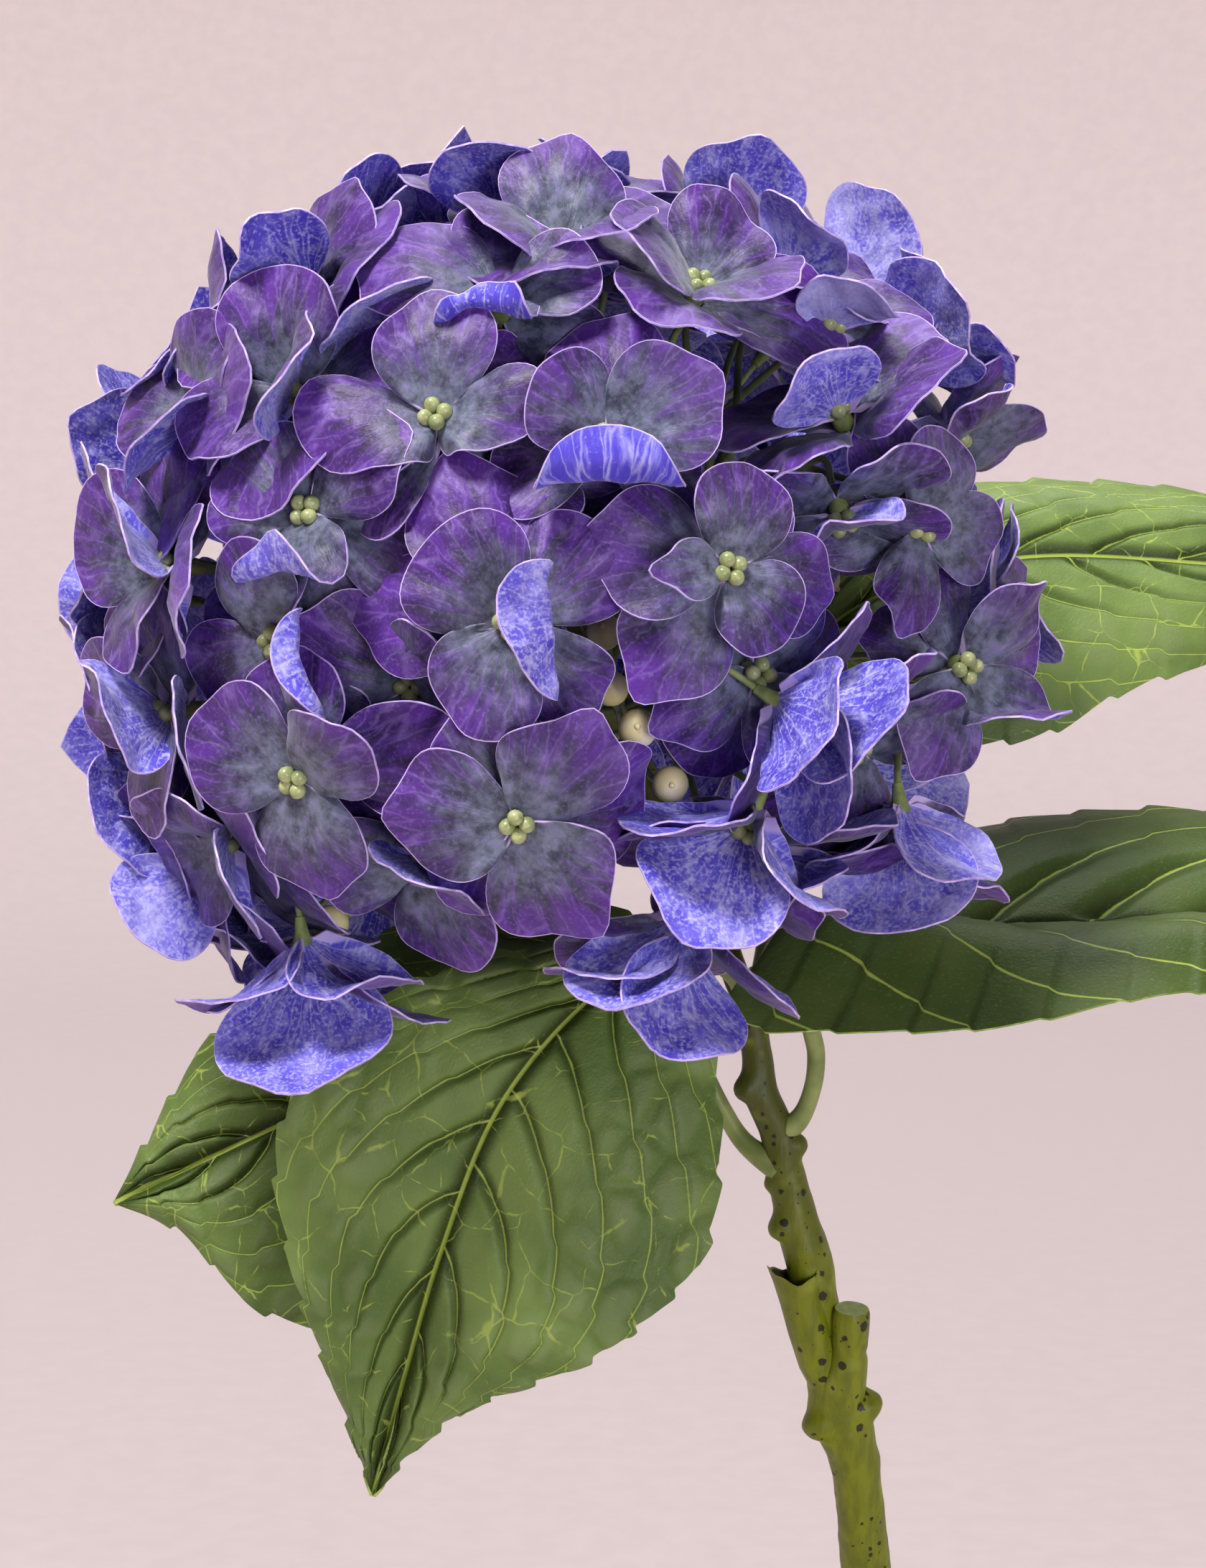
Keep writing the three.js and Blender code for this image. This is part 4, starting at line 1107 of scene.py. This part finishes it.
def placeForks(feet):
    # each way moves to the middle of the florets nearest to it; also hands back which way each floret is on
    ways = np.array([unit(foot - headCentre) for foot, _ in feet])
    forks = np.array([directionAt(*way) for way in forkWays])
    for _ in range(6):
        nearest = np.argmax(ways @ forks.T, axis=1)
        for k in set(nearest):
            forks[k] = unit(ways[nearest == k].sum(axis=0))
    return forks, nearest


def buildBranches(feet):
    look = branchLook
    skins = [
        makeWaxyGreen("flower branch, olive skin", look["dark"], look["light"], 5.0, 0.5),
        makeWaxyGreen("pedicel skin, pale green", look["pedicel"], look["pedicelLight"], 5.0, 0.45),
        makeBudSkin(),
    ]
    first, last, low = (np.array(branchShape[place]) for place in ("first", "last", "low"))
    ways, nearest = placeForks(feet)
    forks, parts = [], []
    for k, way in enumerate(ways):
        start = first + (last - first) * ((k % 5) / 4)
        end = headCentre + way * (forkMm + 3 * math.sin(2.3 * k))
        middle = start + (end - start) * 0.5 + up * 3.0 * math.cos(k)
        path = smoothPath([start, middle, end], 26)
        parts.append(inSlot(tube(path, np.linspace(1.45, 1.05, len(path)), 12), 0))
        parts.append(inSlot(ball(end, 1.5, 8, 12), 0))
        forks.append(end)
    for (foot, axis), k in zip(feet, nearest):
        end = forks[k]
        gap = np.linalg.norm(foot - end)
        bend = end + (foot - end) * 0.4 - axis * gap * 0.02 + draw.normal(0, 1.2, 3)
        path = smoothPath([end, bend, foot - axis * gap * 0.22, foot], 22)
        parts.append(inSlot(tube(path, np.linspace(0.75, 0.55, len(path)), 8), 1))
    for place, size in closedBuds:
        place = np.array(place, float)
        base = headCentre + forkMm * ways[np.argmax(ways @ unit(place - headCentre))]
        if np.linalg.norm(base - place) >= budStalkMm:
            base = low
        path = smoothPath([base, base + (place - base) * 0.55 - 1.2 * up, place], 18)
        parts.append(inSlot(tube(path, np.linspace(0.7, 0.6, len(path)), 8), 1))
        parts.append(inSlot(ball(place, size / 2, 14, 18, place - base), 2))
        parts.append(inSlot(ball(place + unit(place - base) * size * 0.5, size * 0.09, 5, 8), 2))
    points, faces, slots, _ = joinParts(parts)
    finishPiece(makeMesh("flower_branches", points, faces, skins, slots), "cane")
    print("branches:", len(forks), "buds:", len(closedBuds))


def makeBudSkin():
    # closed bud, waxy cream, greener in places
    material, tree, shader = newMaterial("closed bud, waxy cream", 0.32)
    place = addNode(tree, "TexCoord", output="Object")
    patch = addNode(tree, "TexNoise", {"Vector": place, "Scale": 160.0, "Detail": 3.0})
    broad = addNode(tree, "TexNoise", {"Vector": place, "Scale": 28.0, "Detail": 1.0})
    colour = paintLayers(tree, branchLook["bud"], [
        (patch, 0.3, 0.7, 0.0, 1.0, branchLook["budLight"]),
        (broad, 0.5, 0.68, 0.0, 0.5, branchLook["budGreen"]),
    ])
    dressShader(tree, shader, colour, patch, 0.3, 0.3)
    return material


# jar and water

jarLook = {"glass": "#f4faf7", "glassEdge": "#eef7f3", "water": "#f3f9f8", "waterDeep": "#eef6f5"}


# radius and height, mm, from the middle of the base up the outside and back down the inside
jarOutline = [
    (0, 0.9), (30, 0.9), (33, 0.0), (37, 0), (41, 2.4), (43, 8), (43, 78), (41.2, 87), (36, 96), (29.7, 104),
    (28.1, 108), (28.1, 113), (29.4, 115), (29.4, 118.2), (27.8, 120), (25.9, 120), (24.3, 118), (24.3, 108),
    (26.3, 104), (32.5, 95), (38, 87), (39.8, 78), (39.8, 11), (38.2, 7), (34.8, 5), (0, 5),
]
waterOutline = [  # a hair wider than the bore so that no air shows between, and drawn up where it meets glass
    (0, 4.95), (34.8, 4.95), (38.25, 7), (39.85, 11), (39.85, 78), (39.1, 82.6), (38.4, 82.0), (0, 82.0),
]


def turnedRings(profile, sides):
    a = 2 * np.pi * np.arange(sides) / sides
    return [np.column_stack([radius * np.cos(a), radius * np.sin(a), np.full(sides, height)])
            for radius, height in profile if radius > 0]


def roundedProfile(corners, sharpness):
    # softens each corner of a profile by a short curve
    corners = np.array(corners, float)
    softened = [corners[0]]
    for before, here, after in zip(corners, corners[1:], corners[2:]):
        gaps = (before - here, after - here)
        a, b = (here + gap * min(sharpness, 6 / np.linalg.norm(gap)) for gap in gaps)
        softened += [(1 - t) ** 2 * a + 2 * t * (1 - t) * here + t ** 2 * b for t in np.linspace(0, 1, 6)]
    return [*softened, corners[-1]]


def makeClear(name, ior, tint, otherTint, swellMm):
    material, tree, shader = newMaterial(name, 0.0, ior)
    place = addNode(tree, "TexCoord", output="Object")
    swell = addNode(tree, "TexNoise", {"Vector": place, "Scale": 1000 / swellMm, "Detail": 1.0})
    colour = paintLayers(tree, tint, [(swell, 0.3, 0.7, 0.0, 1.0, otherTint)])
    dressShader(tree, shader, colour, swell, 0.08, 0.5)
    shader.inputs["Transmission Weight"].default_value = 1.0
    return material


def buildJar():
    # soda-lime glass, blown and fire-polished: clear with a faint green edge
    glass = makeClear("clear soda-lime glass", 1.5, jarLook["glass"], jarLook["glassEdge"], 45.0)
    rings = turnedRings(roundedProfile(jarOutline, 0.35), 128)
    finishPiece(makeMesh("jar_glass", *closedRings(rings), [glass]), "glass", "jar")
    water = makeClear("still water", 1.333, jarLook["water"], jarLook["waterDeep"], 17.0)
    rings = turnedRings(roundedProfile(waterOutline, 0.2), 128)
    finishPiece(makeMesh("jar_water", *closedRings(rings), [water]), "water", "water")
    print("jar and water: ready")


# build

def buildHead():
    materials = [
        makePetalFace(), makePetalBack(), makePetalRim(),
        makeWaxyGreen("floret eye, waxy bud", eyeLook["bead"], eyeLook["beadLight"], 2.0, 0.28),
        makeWaxyGreen("pedicel, green skin", eyeLook["stalk"], eyeLook["stalkLight"], 3.0, 0.45),
    ]
    feet = []
    for name, own in placeFlorets().items():
        piece, foot, axis = makeFloret(name, own, materials)
        finishPiece(piece, "petal", *([] if feet else ["flower_head"]))
        feet.append((foot, axis))
    print("florets:", len(feet))
    return feet


buildBranches(buildHead())
buildLeaves()
buildCane()
buildJar()

# camera, light and floor

cameraAt = np.array([-52.2, -601.3, 357.8])  # mm
cameraTilt = 83.0                            # degrees, 90 looks level
lensMm, filmMm = 76.92, 36                   # the film's height

camera = bpy.data.objects.new("camera", bpy.data.cameras.new("camera"))
camera.location = cameraAt * mm
camera.rotation_euler = (math.radians(cameraTilt), 0, 0)
camera.data.lens = lensMm
camera.data.sensor_width = filmMm
camera.data.clip_start = 0.01
bpy.context.scene.collection.objects.link(camera)
bpy.context.scene.camera = camera
bpy.context.scene.view_settings.view_transform = "Standard"

# near and front are painted shade: the paper darker in the middle, under the lamps, and on the camera's side
floorLook = {"near": "#b9acae", "far": "#eee1e2", "fibre": "#cfc3c4", "front": "#8d8486"}
floorShape = {"flat": 1300, "sweep": 900, "top": 1300}  # mm: where it bends up, the bend's radius, its top


def makeFloor():
    # a seamless paper floor that curves up all round, darker near the middle and on the camera's side as
    # painted shade
    material, tree, shader = newMaterial("backdrop paper", 0.9)
    place = addNode(tree, "TexCoord", output="Object")
    fibre = addNode(tree, "TexNoise", {"Vector": place, "Scale": 90.0, "Detail": 4.0})
    distance = addNode(tree, "VectorMath", {0: place}, 1, operation="LENGTH")
    depth = addNode(tree, "SeparateXYZ", {0: place}, 1)
    # painted shade: darker near the middle than far off, and darker again on the camera's side, so that the
    # paper there throws less light back onto the flower
    colour = paintLayers(tree, floorLook["near"], [
        (distance, 0.2, 2.2, 0.0, 1.0, floorLook["far"]),
        (depth, -1.6, -0.7, 0.95, 0.0, floorLook["front"]),
        (fibre, 0.3, 0.7, 0.0, 0.15, floorLook["fibre"]),
    ])
    dressShader(tree, shader, colour, fibre, 0.1, 0.2)
    s = floorShape
    bend = np.linspace(0, np.pi / 2, 13)
    profile = list(zip(s["flat"] + s["sweep"] * np.sin(bend), s["sweep"] * (1 - np.cos(bend))))
    profile.append((s["flat"] + s["sweep"], s["top"]))
    sides = 64
    points = np.vstack([[[0, 0, 0]], *turnedRings(profile, sides)])
    faces = [(0, 1 + j, 1 + (j + 1) % sides) for j in range(sides)]
    faces += [tuple(reversed(quad)) for quad in gridQuads(len(profile), sides, start=1, closed=True)]
    makeMesh("floor", points, faces, [material])


lamps = {  # where it stands and what it looks at in m, diameter in m, power in W, colour
    "key": ((-0.55, -0.75, 1.75), (-0.03, 0, 0.25), 0.5, 43, "#fffaf6"),
    "fill": ((0.6, -1.5, 0.3), (0, 0, 0.25), 0.6, 12, "#f6f4fc"),
    "top": ((0.1, 0.5, 1.7), (0, 0, 0.2), 1.0, 14, "#ffffff"),
}
surround = {"colour": "#f0eaea", "strength": 0.17}


def addLights():
    for name, (place, target, size, power, colour) in lamps.items():
        lamp = bpy.data.lights.new(name, "AREA")
        lamp.shape = "DISK"
        lamp.size = size
        lamp.energy = power
        lamp.color = hexToLinear(colour)[:3]
        holder = bpy.data.objects.new(name, lamp)
        holder.location = place
        holder.rotation_euler = (Vector(target) - Vector(place)).to_track_quat("-Z", "Y").to_euler()
        bpy.context.scene.collection.objects.link(holder)
    world = bpy.data.worlds.new("studio")
    bpy.context.scene.world = world
    world.use_nodes = True
    background = world.node_tree.nodes["Background"]
    background.inputs["Color"].default_value = hexToLinear(surround["colour"])
    background.inputs["Strength"].default_value = surround["strength"]


makeFloor()
addLights()
